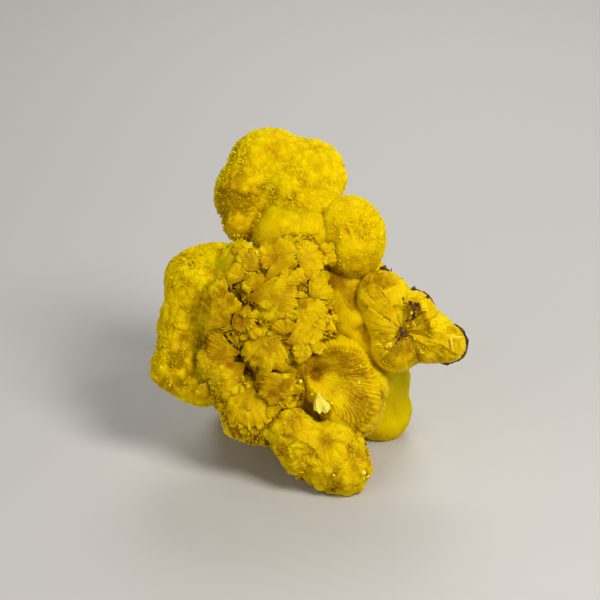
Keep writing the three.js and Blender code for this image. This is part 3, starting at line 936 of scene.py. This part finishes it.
def scatter(balls, spacing, seed, melt):
    """Points spread over the open surface of the balls, about one in every cube of that spacing.

    About six are thrown for each cube's face. Those in the hollow, by a pit, in a joint between balls
    or under the specimen are dropped, and only the first in each cube is kept.
    """
    random = np.random.default_rng(seed)
    area = 4 * np.pi * balls[:, 3] ** 2
    which = np.repeat(np.arange(len(balls)), np.maximum((6 * area / spacing**2).astype(int), 6))
    ways = unit(random.normal(size=(len(which), 3)))
    points = balls[which, :3] + ways * balls[which, 3:4]
    for _ in range(3):
        points = points - ways * outside(points, balls, melt)[:, None]
    _, _, next_away = own_ball(points)
    whole = (hollow(points) < 0.02) & (deep_in_pit(points) < -0.09)
    open_air = (next_away > 0.02) & whole & (points[:, 2] > 0.05)
    points = points[open_air]
    _, first = np.unique(np.floor(points / spacing).astype(int), axis=0, return_index=True)
    return points[np.sort(first)]


def between(random, low, high, count):
    """Random numbers between two limits, more of them near the low one."""
    return low + (high - low) * random.random(count) ** 1.6


def stack_way(points, outward, own, pole):
    """Across the plates: round the pole if the region has one, or else as the balls say."""
    if pole is None:
        return across_plates(points, outward, own)
    aside = points - (np.array(pole["pole"]) - ORIGIN)
    return unit(np.cross(outward, aside))


def tufts(
    balls, seed, spacing, leaves, spread, width, stand, thick,
    patchy=-0.45, pole=None, turned=0.8, melt=0.15, single=0.0, sides=6, rows=BLADE,
):
    """Untidy bundles of curved blades that stand on the balls.

    Width, stand and thick are (least, most) in mm, and stand is how far a blade's tip stands clear. A
    tuft's blades share a stack direction, but each is moved, tilted, turned and sized at random. A share
    of single blades lean over and show their faces. Tufts grow only where smooth noise is above patchy,
    and in the crevices.
    """

    def repeat(values):
        return np.repeat(values, leaves, axis=0)

    random = np.random.default_rng(seed)
    centre = scatter(balls, spacing, seed, melt)
    _, _, next_away = own_ball(centre)
    centre = centre[(bumps(centre, 0.9, 41) > patchy) | (next_away < 0.16)]
    own, _, _ = own_ball(centre)
    outward = unit(centre - EVERY_BALL[own, :3])
    stack = stack_way(centre, outward, own, pole)
    angle = random.normal(0, turned, len(centre))[:, None]
    stack = np.cos(angle) * stack + np.sin(angle) * np.cross(outward, stack)
    along = np.cross(outward, stack)
    number = len(centre) * leaves
    shift = random.uniform(-1, 1, number)
    slide = random.normal(0, 0.25 * width[1], number)
    at = repeat(centre) + repeat(stack) * (spread * shift)[:, None] + repeat(along) * slide[:, None]
    fan = 0.45 * shift + random.normal(0, 0.16, number)
    up = unit(repeat(outward) + fan[:, None] * repeat(stack) + random.normal(0, 0.12, (number, 3)))
    loose = random.random(number) < single
    up = np.where(loose[:, None], unit(up + 0.9 * repeat(stack) * np.sign(shift)[:, None]), up)
    facing = repeat(stack) + random.normal(0, 0.22, number)[:, None] * repeat(along)
    at = at - repeat(outward) * outside(at, balls, melt)[:, None]
    size = between(random, *width, number) * (1 - 0.3 * np.abs(shift))
    rise = between(random, *stand, number)
    bend = repeat(random.normal(0, 0.16, len(centre))) + random.normal(0, 0.08, number)
    lean = random.normal(0, 0.25, number)
    dims = (SUNK + rise, size, between(random, *thick, number))
    return plates(at - up * SUNK, up, facing, dims, bend, lean, sides, rows)


def add_plates(name, made, material, lift=0.0, clean=0.0):
    """Makes one piece from made plates, brown at the stains.

    Brown painted shade goes into crevices, the hollow and the plates' roots. Lift makes all its colours
    brighter, and clean takes stain and painted shade away.
    """
    points, faces, height, grain = made
    dark = crevice(points, 0.10)
    shade = hollow_shade(points)
    stain_and_shade = np.maximum(stained(points), 0.6 * dark) * (1 - 0.45 * np.clip(height, 0, 1))
    stain_and_shade = np.maximum(stain_and_shade, shade) - clean
    # Painted shade in crevices and the broad patches of painted light and shade set the colour height.
    traits = (lift + 0.70 * height - 0.25 * dark - 0.8 * painted_light_and_shade(points), stain_and_shade, grain)
    pieces.append(make_piece(name, points, faces, traits, material, False))


# %% [markdown]
# Tufts of blades stand on the front's lumps, most of them in the crevices.

# %% Blades on the front
TUFT_COLUMNS = ("spacing", "leaves", "spread", "width", "stand", "single", "patchy")
TUFTS = {
    "brow": [0.36, 5, 0.2, (0.2, 0.8), (0.0, 0.08), 0.1, 0.3],
    "cheek": [0.32, 5, 0.18, (0.12, 0.6), (0.0, 0.09), 0.12, 0.2],
    "middle": [0.38, 5, 0.22, (0.2, 0.8), (0.0, 0.07), 0.08, 0.45],
    "low": [0.3, 4, 0.16, (0.1, 0.45), (0.0, 0.07), 0.08, 0.3],
    "broken": [0.42, 3, 0.18, (0.08, 0.25), (-0.05, 0.03), 0.0, 0.1],
    "foot": [0.44, 3, 0.18, (0.1, 0.4), (-0.06, 0.02), 0.0, 0.1],
}
for number, (name, row) in enumerate(TUFTS.items()):
    look = dict(zip(TUFT_COLUMNS, row), thick=(0.035, 0.075), turned=0.4)
    pole = None if name == "foot" else POLE_LOOKS[name]
    made = tufts(placed(REGIONS[name]), 20 + number, pole=pole, **look)
    add_plates(name + "_blades", made, leafy, 0.15, -0.30)

# %% [markdown]
# ## Fans
# On the front the bundles spread into fans that overlap like shells. We lay each one over the lumps as
# seen from the front: its root is sunk in, its middle stands clear, and its rim bends down and throws a
# small shadow. A second set of smaller fans lies at random places between the large ones.

# %% Fans on the front
TO_CAMERA = unit(np.array([0.0, -0.911, 0.412]))
SIDEWAYS = np.array([1.0, 0, 0])
IMAGE_UP = np.cross(SIDEWAYS, -TO_CAMERA)
IN_FRONT = 14.0  # mm from the middle, which is in front of every ball
FANS = [  # right, up, length, angle, half spread (degrees), rim height, darker
    [-2.62, 6.51, 2.18, 8, 38, 0.12, 0.2], [-1.57, 5.2, 1.83, -104, 48, 0.11, 0.25],
    [-0.44, 8.08, 1.09, 20, 85, 0.1, 0.15], [-1.92, 7.12, 1.83, 55, 20, 0.1, 0.35],
    [-2.14, 6.82, 0.8, 119, 55, 0.14, 0.35], [-2.01, 7.82, 0.96, 145, 55, 0.09, 0.15],
    [-3.4, 5.34, 1.57, 138, 55, 0.1, 0.3], [-3.05, 6.08, 1.05, -75, 45, 0.11, 0.45],
    [-0.61, 6.43, 1.48, -32, 45, 0.09, 0.15], [-1.0, 4.62, 1.2, 15, 36, 0.11, 0.15],
    [-2.7, 3.72, 1.74, -145, 38, 0.1, 0.25], [-2.44, 2.68, 1.83, -103, 50, 0.09, 0.12],
    [-0.26, 2.41, 1.83, 166, 30, 0.1, 0.3], [-2.88, 4.16, 1.57, 176, 30, 0.09, 0.3],
    [-1.22, 8.08, 1.05, 95, 60, 0.08, 0.1], [0.17, 6.43, 1.05, 60, 50, 0.08, 0.15],
    [-0.35, 5.34, 1.13, -10, 40, 0.08, 0.05],
]


def laid_on(flat, balls, melt):
    """Places on the balls' surface that are seen at those distances [right, up] in the front view.

    Each starts far in front and comes nearer by most of its distance outside the balls, many times.
    """
    start = flat[:, :1] * SIDEWAYS + flat[:, 1:] * IMAGE_UP - ORIGIN * SIDEWAYS
    along = np.full(len(flat), IN_FRONT)
    for _ in range(40):
        along = along - 0.9 * np.clip(outside(start + along[:, None] * TO_CAMERA, balls, melt), -0.5, 0.5)
    return start + along[:, None] * TO_CAMERA


def layered(rows, columns):
    """Triangles of two grids of points, the second below the first, and of the wall that joins them."""
    index = np.arange(rows * columns).reshape(rows, columns)
    a, b, c, d = cells(index[:, :-1], index[:, 1:])
    sheet = halves(a, d, c, b)
    loop = np.concatenate([index[:-1, 0], index[-1, :-1], index[:0:-1, -1], index[0, :0:-1]])
    after = np.roll(loop, -1)
    below, below_after = loop + index.size, after + index.size
    wall = halves(loop, below, below_after, after)
    return np.vstack([sheet, sheet[:, ::-1] + index.size, wall])


def fan(right, up, length, angle, spread, rim, darker, seed, rows=20, columns=72):
    """One fan: points, triangles, heights and grain of a shell that hugs the lumps, and how buried it is.

    Its root lies at right and up in the front view, in mm, and its middle points along the angle. A
    point lies at the root plus length * part along an angle of its own, at most spread degrees aside.
    Every leaf has its own length and height. The shell rises from under the surface, stands clear by
    more than rim mm and bends down again at its end, and a second layer below closes it. Darker takes
    that much from the height that colours it.
    """
    part = np.linspace(0, 1, rows)[:, None]
    side = np.linspace(-1, 1, columns)[None]
    wander = 1.2 * np.sin(4 * side + seed) + 0.8 * np.sin(9 * side + 2 * seed)
    number = side * columns / 5 + wander * part
    leaf = np.floor(number)
    chance = scrambled(leaf, float(seed))
    crest = 1 - np.abs(2 * (number - leaf) - 1)
    curl = 50 * (scrambled(seed, 3.0) - 0.5)
    turn = np.radians(angle + spread * side + curl * (part - 0.5))
    far = length * part * (1 + 0.13 * (chance - 0.5) - 0.30 * side**4)
    flat = np.stack([right + far * np.cos(turn), up + far * np.sin(turn)], axis=-1).reshape(-1, 2)
    places = laid_on(flat, BODY_BALLS, 0.35)
    edge = smooth_step(1 - np.abs(side), 0.0, 0.5)
    rough = (0.09 * bumps(places, 0.45, 61) + 0.05 * bumps(places, 0.18, 62)).reshape(rows, columns)
    lines = (0.05 * (crest - 0.5) + 0.06 * (chance - 0.5)) * part
    arch = (0.16 + 1.2 * rim) * part**1.2 * (1 - 0.42 * part**5)
    rise = (arch + lines) * edge - SUNK + rough
    top = places + rise.reshape(-1, 1) * TO_CAMERA
    thick = 0.13 - 0.07 * np.repeat(part, columns)
    points = np.vstack([top, top - thick[:, None] * TO_CAMERA])
    # Painted shade and light: the colour is lighter toward the rim and on raised bumps.
    height = (0.20 + 0.20 * crest + 0.22 * (chance - 0.5) + 0.24 * part - darker + 2.2 * rough).ravel()
    grain = np.stack([number, far / STREAK, np.full((rows, columns), 7.0 * seed)], axis=-1).reshape(-1, 3)
    # Painted shade: browner at the sunken root, and the lower layer darker and browner.
    root = np.repeat((1 - part) ** 2, columns)
    buried = np.concatenate([0.6 * root, 0 * root + 0.8])
    height = np.concatenate([height, height - 0.3])
    return points, layered(rows, columns), height, np.vstack([grain, grain]), buried


def small_fans(count, seed):
    """Rows for small fans at random places on the bristly lumps, each turned away from the nearest fan."""
    random = np.random.default_rng(seed)
    flat = random.uniform([-4.3, 1.6], [0.9, 9.2], (count, 2))
    own, _, _ = own_ball(laid_on(flat, EVERY_BALL, 0.10))
    bristly = np.concatenate([np.full(len(rows), name in BRISTLY) for name, rows in REGIONS.items()])
    flat = flat[bristly[own]]
    roots = np.array(FANS)[:, :2]
    nearest = np.argmin(((flat[:, None] - roots[None]) ** 2).sum(axis=2), axis=1)
    away = flat - roots[nearest]
    angle = np.degrees(np.arctan2(away[:, 1], away[:, 0])) + random.normal(0, 25, len(flat))
    rest = random.uniform([0.45, 25, 0.05, 0.12], [0.95, 55, 0.11, 0.42], (len(flat), 4))
    return np.column_stack([flat, rest[:, 0], angle, rest[:, 1:]])


def add_fans(name, made, material, clean=False):
    """Puts many fans into one piece; unless clean, browner at stains and random patches.

    Unless clean, brown painted shade also goes at sunken roots and in crevices.
    """
    shift = np.cumsum([0] + [len(one[0]) for one in made])
    points, height, grain, buried = (np.concatenate([one[k] for one in made]) for k in (0, 2, 3, 4))
    faces = np.vstack([one[1] + first for first, one in zip(shift, made)])
    stain_and_shade = np.maximum(0.6 * stained(points), 0.5 * crevice(points, 0.10))
    stain_and_shade = np.maximum(stain_and_shade, 0.5 * smooth_step(bumps(points, 0.6, 63), 0.2, 0.8))
    stain_and_shade = np.maximum(stain_and_shade, buried) * (not clean)
    traits = (height - 0.6 * painted_light_and_shade(points), stain_and_shade, grain)
    pieces.append(make_piece(name, points, faces, traits, material, True))
    print(name, len(made), "fans")


large = [fan(*row, seed) for seed, row in enumerate(FANS)]
small = [fan(*row, 100 + seed, rows=12, columns=32) for seed, row in enumerate(small_fans(90, 62))]
add_fans("front_fans", large, leafy)
add_fans("small_fans", small, leafy)

# %% [markdown]
# The waxy lumps carry fine teeth, which are the tips of single crystals.

# %% Small teeth on the waxy lumps
TOOTH = np.array([[0.0, 1.0, 1.0], [0.75, 0.90, 1.0], [1.0, 0.40, 0.4]])
TEETH = dict(leaves=2, spread=0.08, width=(0.06, 0.20), stand=(0.0, 0.07), thick=(0.03, 0.06), melt=0.16)
TEETH_SPACING = {"crown": 0.24, "left_lobe": 0.27, "side_ball": 0.27, "shoulder": 0.32, "back": 0.40}
for number, (name, spacing) in enumerate(TEETH_SPACING.items()):
    made = tufts(placed(REGIONS[name]), 40 + number, spacing=spacing, sides=4, rows=TOOTH, **TEETH)
    add_plates(name + "_teeth", made, leafy, 0.45, 0.6)

# %% [markdown]
# ## The wing
# The wing's largest crystals lie in its face and radiate from one brown root.

# %% Crystals on the wing
SLAB = np.array([[0.0, 0.55, 1.0], [0.30, 0.90, 1.0], [0.75, 1.0, 1.0], [1.0, 0.72, 0.8]])
WING_CRYSTALS = placed([
    [6.42, -2.84, 5.88, 0.76, 0.6, 105], [5.42, -2.56, 6.86, 0.32, 0.28, 80],
    [4.98, -2.28, 7.58, 0.34, 0.3, 60], [4.86, -2.16, 7.84, 0.22, 0.22, 30],
    [4.52, -2.56, 7.5, 0.14, 0.14, 100],
])


def flat_plates(rows, seed, axes, shine, wobble, lift, thick, back=0.0, tilt=0.0):
    """Flat crystals [x, y, z, length, width, angle in degrees], turned in a plane.

    The axes are the plane's right, its up and the way out of it. Shine turns the broad faces by that
    much, and wobble at random. Lift moves the crystals out of the plane, back slides them down by that
    share of their length, and tilt raises their tips.
    """
    random = np.random.default_rng(seed)
    right, above, out = axes
    turn = np.radians(rows[:, 5])[:, None]
    up = np.cos(turn) * right + np.sin(turn) * above
    facing = unit(out + shine + random.normal(0, wobble, (len(rows), 3)))
    root = rows[:, :3] + lift * out - back * up * rows[:, 3:4]
    still = np.zeros(len(rows))
    size = (rows[:, 3], rows[:, 4], still + thick)
    return plates(root, unit(up + tilt * facing), facing, size, still, still, 8, SLAB)


in_face = (WING_RIGHT, WING_UP, WING_FACE)
made = flat_plates(WING_CRYSTALS, 71, in_face, np.zeros(3), 0.10, lift=0.08, thick=0.10, tilt=0.06)
add_plates("wing_crystals", made, leafy, 0.45, 0.7)
made = tufts(
    placed(REGIONS["wing"]), 75, spacing=0.55, leaves=2, spread=0.2,
    width=(0.08, 0.30), stand=(-0.06, 0.03), thick=(0.03, 0.05), melt=0.15,
)
add_plates("wing_blades", made, leafy, 0.4, 0.3)

# %% [markdown]
# ## Painted highlights on crystals that catch the light
# Here and there a small plate is painted nearly white as a highlight, and it faces the light.

# %% Glints
GLINTS = placed([
    [-2.22, -1.66, 10.08, 0.16], [-2.13, -1.8, 10.01, 0.12], [-0.35, -1.57, 10.28, 0.12],
    [-0.92, -1.66, 10.09, 0.09], [-3.44, -2.58, 7.92, 0.14], [-3.31, -2.56, 7.82, 0.12],
    [-3.8, -3.49, 5.08, 0.11], [-2.14, -4.16, 3.56, 0.13], [-1.0, -4.88, 3.39, 0.13],
    [-6.07, -2.64, 4.13, 0.12], [-0.87, -3.32, 7.88, 0.13], [-0.39, -2.74, 8.52, 0.11],
    [1.75, -0.51, 10.92, 0.16], [1.44, -0.79, 10.42, 0.12], [2.54, -1.05, 9.68, 0.08],
    [2.43, -5.64, 1.38, 0.22], [1.13, -5.82, 1.33, 0.14], [2.61, -5.53, 1.13, 0.18],
    [2.26, -5.6, 1.71, 0.12], [-0.74, -5.39, 2.04, 0.13], [0.17, -3.78, 4.25, 0.13],
    [-0.31, -3.75, 4.87, 0.2], [2.22, -3.65, 4.76, 0.16], [1.05, -3.95, 3.89, 0.14],
    [1.44, -4.01, 4.31, 0.1], [0.79, -1.34, 8.76, 0.16], [0.65, -2.3, 7.61, 0.1],
    [3.58, -3.01, 6.25, 0.22], [2.85, -2.19, 6.25, 0.14], [4.94, -2.98, 5.9, 0.2],
    [5.98, -2.6, 6.86, 0.13], [4.16, -2.74, 6.62, 0.1], [5.06, -2.28, 7.72, 0.14],
    [5.19, -2.28, 7.59, 0.18], [4.36, -2.69, 7.02, 0.14], [3.46, -2.14, 6.81, 0.12],
    [2.31, -3.29, 5.37, 0.1], [3.3, -3.09, 3.62, 0.08], [-1.13, -5.07, 3.04, 0.11],
])


def glint_plates(spots, seed, lift):
    """Painted highlights: small pale plates at spots [x, y, z, size], facing between eye and light."""
    random = np.random.default_rng(seed)
    count = len(spots)
    facing = unit(TO_CAMERA + np.array([0.25, 0.0, 0.45]) + random.normal(0, 0.22, (count, 3)))
    up = unit(np.cross(facing, random.normal(size=(count, 3))))
    size = 0.85 * spots[:, 3]
    root = spots[:, :3] + lift * TO_CAMERA - 0.5 * up * size[:, None]
    dims = (size, size * random.uniform(0.5, 0.9, count), np.full(count, 0.03))
    return plates(root, up, facing, dims, 0 * size, 0 * size, 8, BLADE)


add_plates("glints_front", glint_plates(GLINTS, 81, 0.07), painted_highlight, 0.2, 1.0)

# %% [markdown]
# Long thin plates draw the bright edges of the wing's crystals as painted highlights, and one more
# fan is painted nearly white as a highlight.

# %% Bright edges and the highlight fan
EDGES = placed([
    [6.28, -2.9, 6.24, 0.66, 0.1, 98], [6.52, -2.86, 6.56, 0.44, 0.08, 10],
    [6.7, -2.86, 6.24, 0.4, 0.05, -72], [3.05, -2.98, 6.28, 0.45, 0.04, 2],
    [4.62, -2.62, 7.1, 0.2, 0.05, -45], [3.53, -3.02, 6.32, 0.24, 0.12, 12],
    [3.44, -3.06, 6.2, 0.12, 0.08, 80], [4.93, -3.02, 6.0, 0.16, 0.06, 118],
    [5.02, -3.02, 5.88, 0.1, 0.07, 30], [5.06, -2.36, 7.62, 0.2, 0.04, 20],
    [4.95, -2.26, 7.84, 0.16, 0.04, 30], [3.66, -2.7, 7.2, 0.22, 0.03, -70],
])
towards_light = np.array([0.15, 0.0, 0.3])
in_view = (SIDEWAYS, IMAGE_UP, TO_CAMERA)
made = flat_plates(EDGES, 82, in_view, towards_light, 0.08, lift=0.07, thick=0.03, back=0.5)
add_plates("bright_edges", made, painted_highlight, 0.15, 1.0)
# Painted highlight: this fan's colour is made much lighter.
pale = fan(0.47, 2.42, 0.92, -88, 32, 0.20, -0.60, seed=7, rows=16, columns=30)
add_fans("highlight_fan", [pale], painted_highlight, clean=True)

# %% [markdown]
# ## The host rock
# A thin plate of brown rock backs the wing and shows as a dark line round its edge. A few grains of the
# same rock sit on the wing's face.

# %% Rock plate
wing_balls = placed(REGIONS["wing"])
drop = (wing_balls[:, :3] - ROCK_AT) @ ROCK_WAY
disc_at = wing_balls[:, :3] - drop[:, None] * ROCK_WAY
disc_wide = np.sqrt(wing_balls[:, 3] ** 2 - drop**2) + np.array([-0.10, 0.00, -0.30, -0.08, 0.07, -0.30])


def rock_field(points):
    """How far points are outside the rock: flat discs in one plane, one per ball of the wing.

    The discs are cut off on the wing's side and a little way clear of the body.
    """
    deep = (points - ROCK_AT) @ ROCK_WAY
    flat = points - deep[:, None] * ROCK_WAY
    aside = distances(flat, disc_at) / disc_wide
    shell = (np.sqrt(aside**2 + (deep[:, None] / 0.75) ** 2) - 1) * 0.6
    clear = 0.16 - outside(points, BODY_BALLS, 0.05)
    return np.maximum(np.maximum(shell.min(axis=1), 0.10 - deep), clear)


def blank_traits(points):
    """No height, stain or grain, for the rock's material, which reads none of them."""
    return np.zeros(len(points)), np.zeros(len(points)), np.zeros((len(points), 3))


ways, rock_faces = globe(0.065 * COARSER, 2.0)
flatter = ways - 0.75 * (ways @ ROCK_WAY)[:, None] * ROCK_WAY
rock_middle = np.array([5.0, -1.25, 6.5]) - ORIGIN + 0.30 * ROCK_WAY
rock_points, rock_out = march(rock_middle, unit(flatter), 4.0, rock_field)
rock_rise = 0.05 * bumps(rock_points, 0.5, 31) + 0.05 * bumps(rock_points, 0.2, 32)
rock_rise += 0.03 * bumps(rock_points, 0.09, 33)
rock_points = rock_points + rock_out * rock_rise[:, None]
rock = make_piece("rock", rock_points, rock_faces, blank_traits(rock_points), brown_rock, True)
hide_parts("rock_plate")

# %% [markdown]
# The grains sit in clusters, most of them at the wing's root and along its upper edge.

# %% Rock grains on the wing
GRAINS = placed([
    [4.6, -1.42, 8.14, 0.13, 14], [3.2, -0.66, 8.86, 0.06, 5], [3.36, -0.72, 8.92, 0.06, 6],
    [3.58, -0.8, 8.84, 0.06, 5], [4.15, -2.04, 8.04, 0.02, 2], [5.2, -1.72, 7.97, 0.06, 4],
    [4.56, -2.34, 7.88, 0.16, 18], [4.64, -2.52, 7.64, 0.08, 6], [4.5, -2.64, 7.36, 0.11, 12],
    [4.12, -2.74, 6.78, 0.14, 16], [4.2, -2.76, 6.66, 0.12, 12], [3.86, -2.9, 6.48, 0.08, 5],
])


def grains(spots, seed):
    """Small angular lumps scattered round those spots [x, y, z, spread, count], stretched and dented."""
    random = np.random.default_rng(seed)
    ways, faces = globe(0.60, 1.0)
    number = spots[:, 4].astype(int)
    count = number.sum()
    spread = np.repeat(spots[:, 3], number)[:, None]
    aside = random.normal(0, 0.75, (count, 2)) * spread
    middle = np.repeat(spots[:, :3], number, axis=0) + aside[:, :1] * WING_RIGHT + aside[:, 1:] * WING_UP
    middle = middle + WING_FACE * random.uniform(-0.03, 0.03, count)[:, None]
    stretch = random.uniform(0.6, 1.5, (count, 1, 3)) * random.uniform(0.025, 0.065, count)[:, None, None]
    dents = 1 + 0.60 * bumps((ways[None] + 5 * np.arange(count)[:, None, None]).reshape(-1, 3), 0.6, 34)
    points = ways[None] * stretch * dents.reshape(count, -1, 1) + middle[:, None]
    faces = faces[None] + len(ways) * np.arange(count)[:, None, None]
    return points.reshape(-1, 3), faces.reshape(-1, 3)


grain_points, grain_faces = grains(GRAINS, 91)
blank = blank_traits(grain_points)
rock_grains = make_piece("rock_grains", grain_points, grain_faces, blank, brown_rock, False)
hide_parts("rock_plate")

# %% [markdown]
# ## The swap
# All the yellow pieces together take the plain solid's place.

# %% Swap the plain solid for the fine surface
for piece in pieces:
    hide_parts("crystal_cluster")
print(len(pieces), "pieces replace the plain cluster")

# %% [markdown]
# ## Camera and light
# The camera is far away with a long lens, as for a specimen picture. The lights are large and soft: a
# key from the upper right, a weak fill from the left and a rim from behind.

# %% Camera and light
LENS = 181.6  # mm
CAMERA_AT = np.array([-0.35, -122.51, 62.36]) - ORIGIN
CAMERA_AIM = np.array([-0.35, 0.53, 6.81]) - ORIGIN
LIGHTS = {  # place and aim in mm, width in mm, power in watts, colour
    "key": [(50, -56, 86), (0, 0, 6), 42, 0.108, (1.0, 0.97, 0.92)],
    "fill": [(-60, -70, 40), (0, 0, 6), 80, 0.026, (1.0, 0.98, 0.95)],
    "rim": [(10, 70, 60), (0, 0, 8), 50, 0.030, (1.0, 1.0, 1.0)],
}
FLOOR_TONE = (0.55, 0.54, 0.52, 1.0)
FLOOR_REACH = 400 * MM


def aim_at(thing, at, aim):
    """Puts a lamp or camera at a place in mm, its -Z axis pointing at the aim and its Y axis up."""
    thing.location = np.array(at) * MM
    way = Vector(np.array(aim, float) - np.array(at, float))
    thing.rotation_euler = way.to_track_quat("-Z", "Y").to_euler()


camera_data = bpy.data.cameras.new("camera")
camera_data.lens = LENS
camera_data.clip_start = 0.001
camera_data.clip_end = 2.0
camera = add_object("camera", camera_data)
aim_at(camera, CAMERA_AT, CAMERA_AIM)
bpy.context.scene.camera = camera

for name, (at, aim, size, power, colour) in LIGHTS.items():
    data = bpy.data.lights.new(name, "AREA")
    data.size = size * MM
    data.energy = power
    data.color = colour
    aim_at(add_object(name, data), at, aim)

corners = [(x * FLOOR_REACH, y * FLOOR_REACH, 0) for x, y in ((-1, -1), (1, -1), (1, 1), (-1, 1))]
floor_mesh = bpy.data.meshes.new("floor")
floor_mesh.from_pydata(corners, [], [(0, 1, 2, 3)])
floor = add_object("floor", floor_mesh)
floor_material, _, floor_shader = start_material("pale_floor")
floor_shader.inputs["Base Color"].default_value = FLOOR_TONE
floor_shader.inputs["Roughness"].default_value = 0.6
floor_mesh.materials.append(floor_material)

world = bpy.data.worlds.new("world")
bpy.context.scene.world = world
world.use_nodes = True
sky = world.node_tree.nodes["Background"]
sky.inputs["Color"].default_value = (1.0, 0.98, 0.95, 1.0)
sky.inputs["Strength"].default_value = 0.16
bpy.context.scene.view_settings.view_transform = "Standard"
print("camera and", len(LIGHTS), "lights")
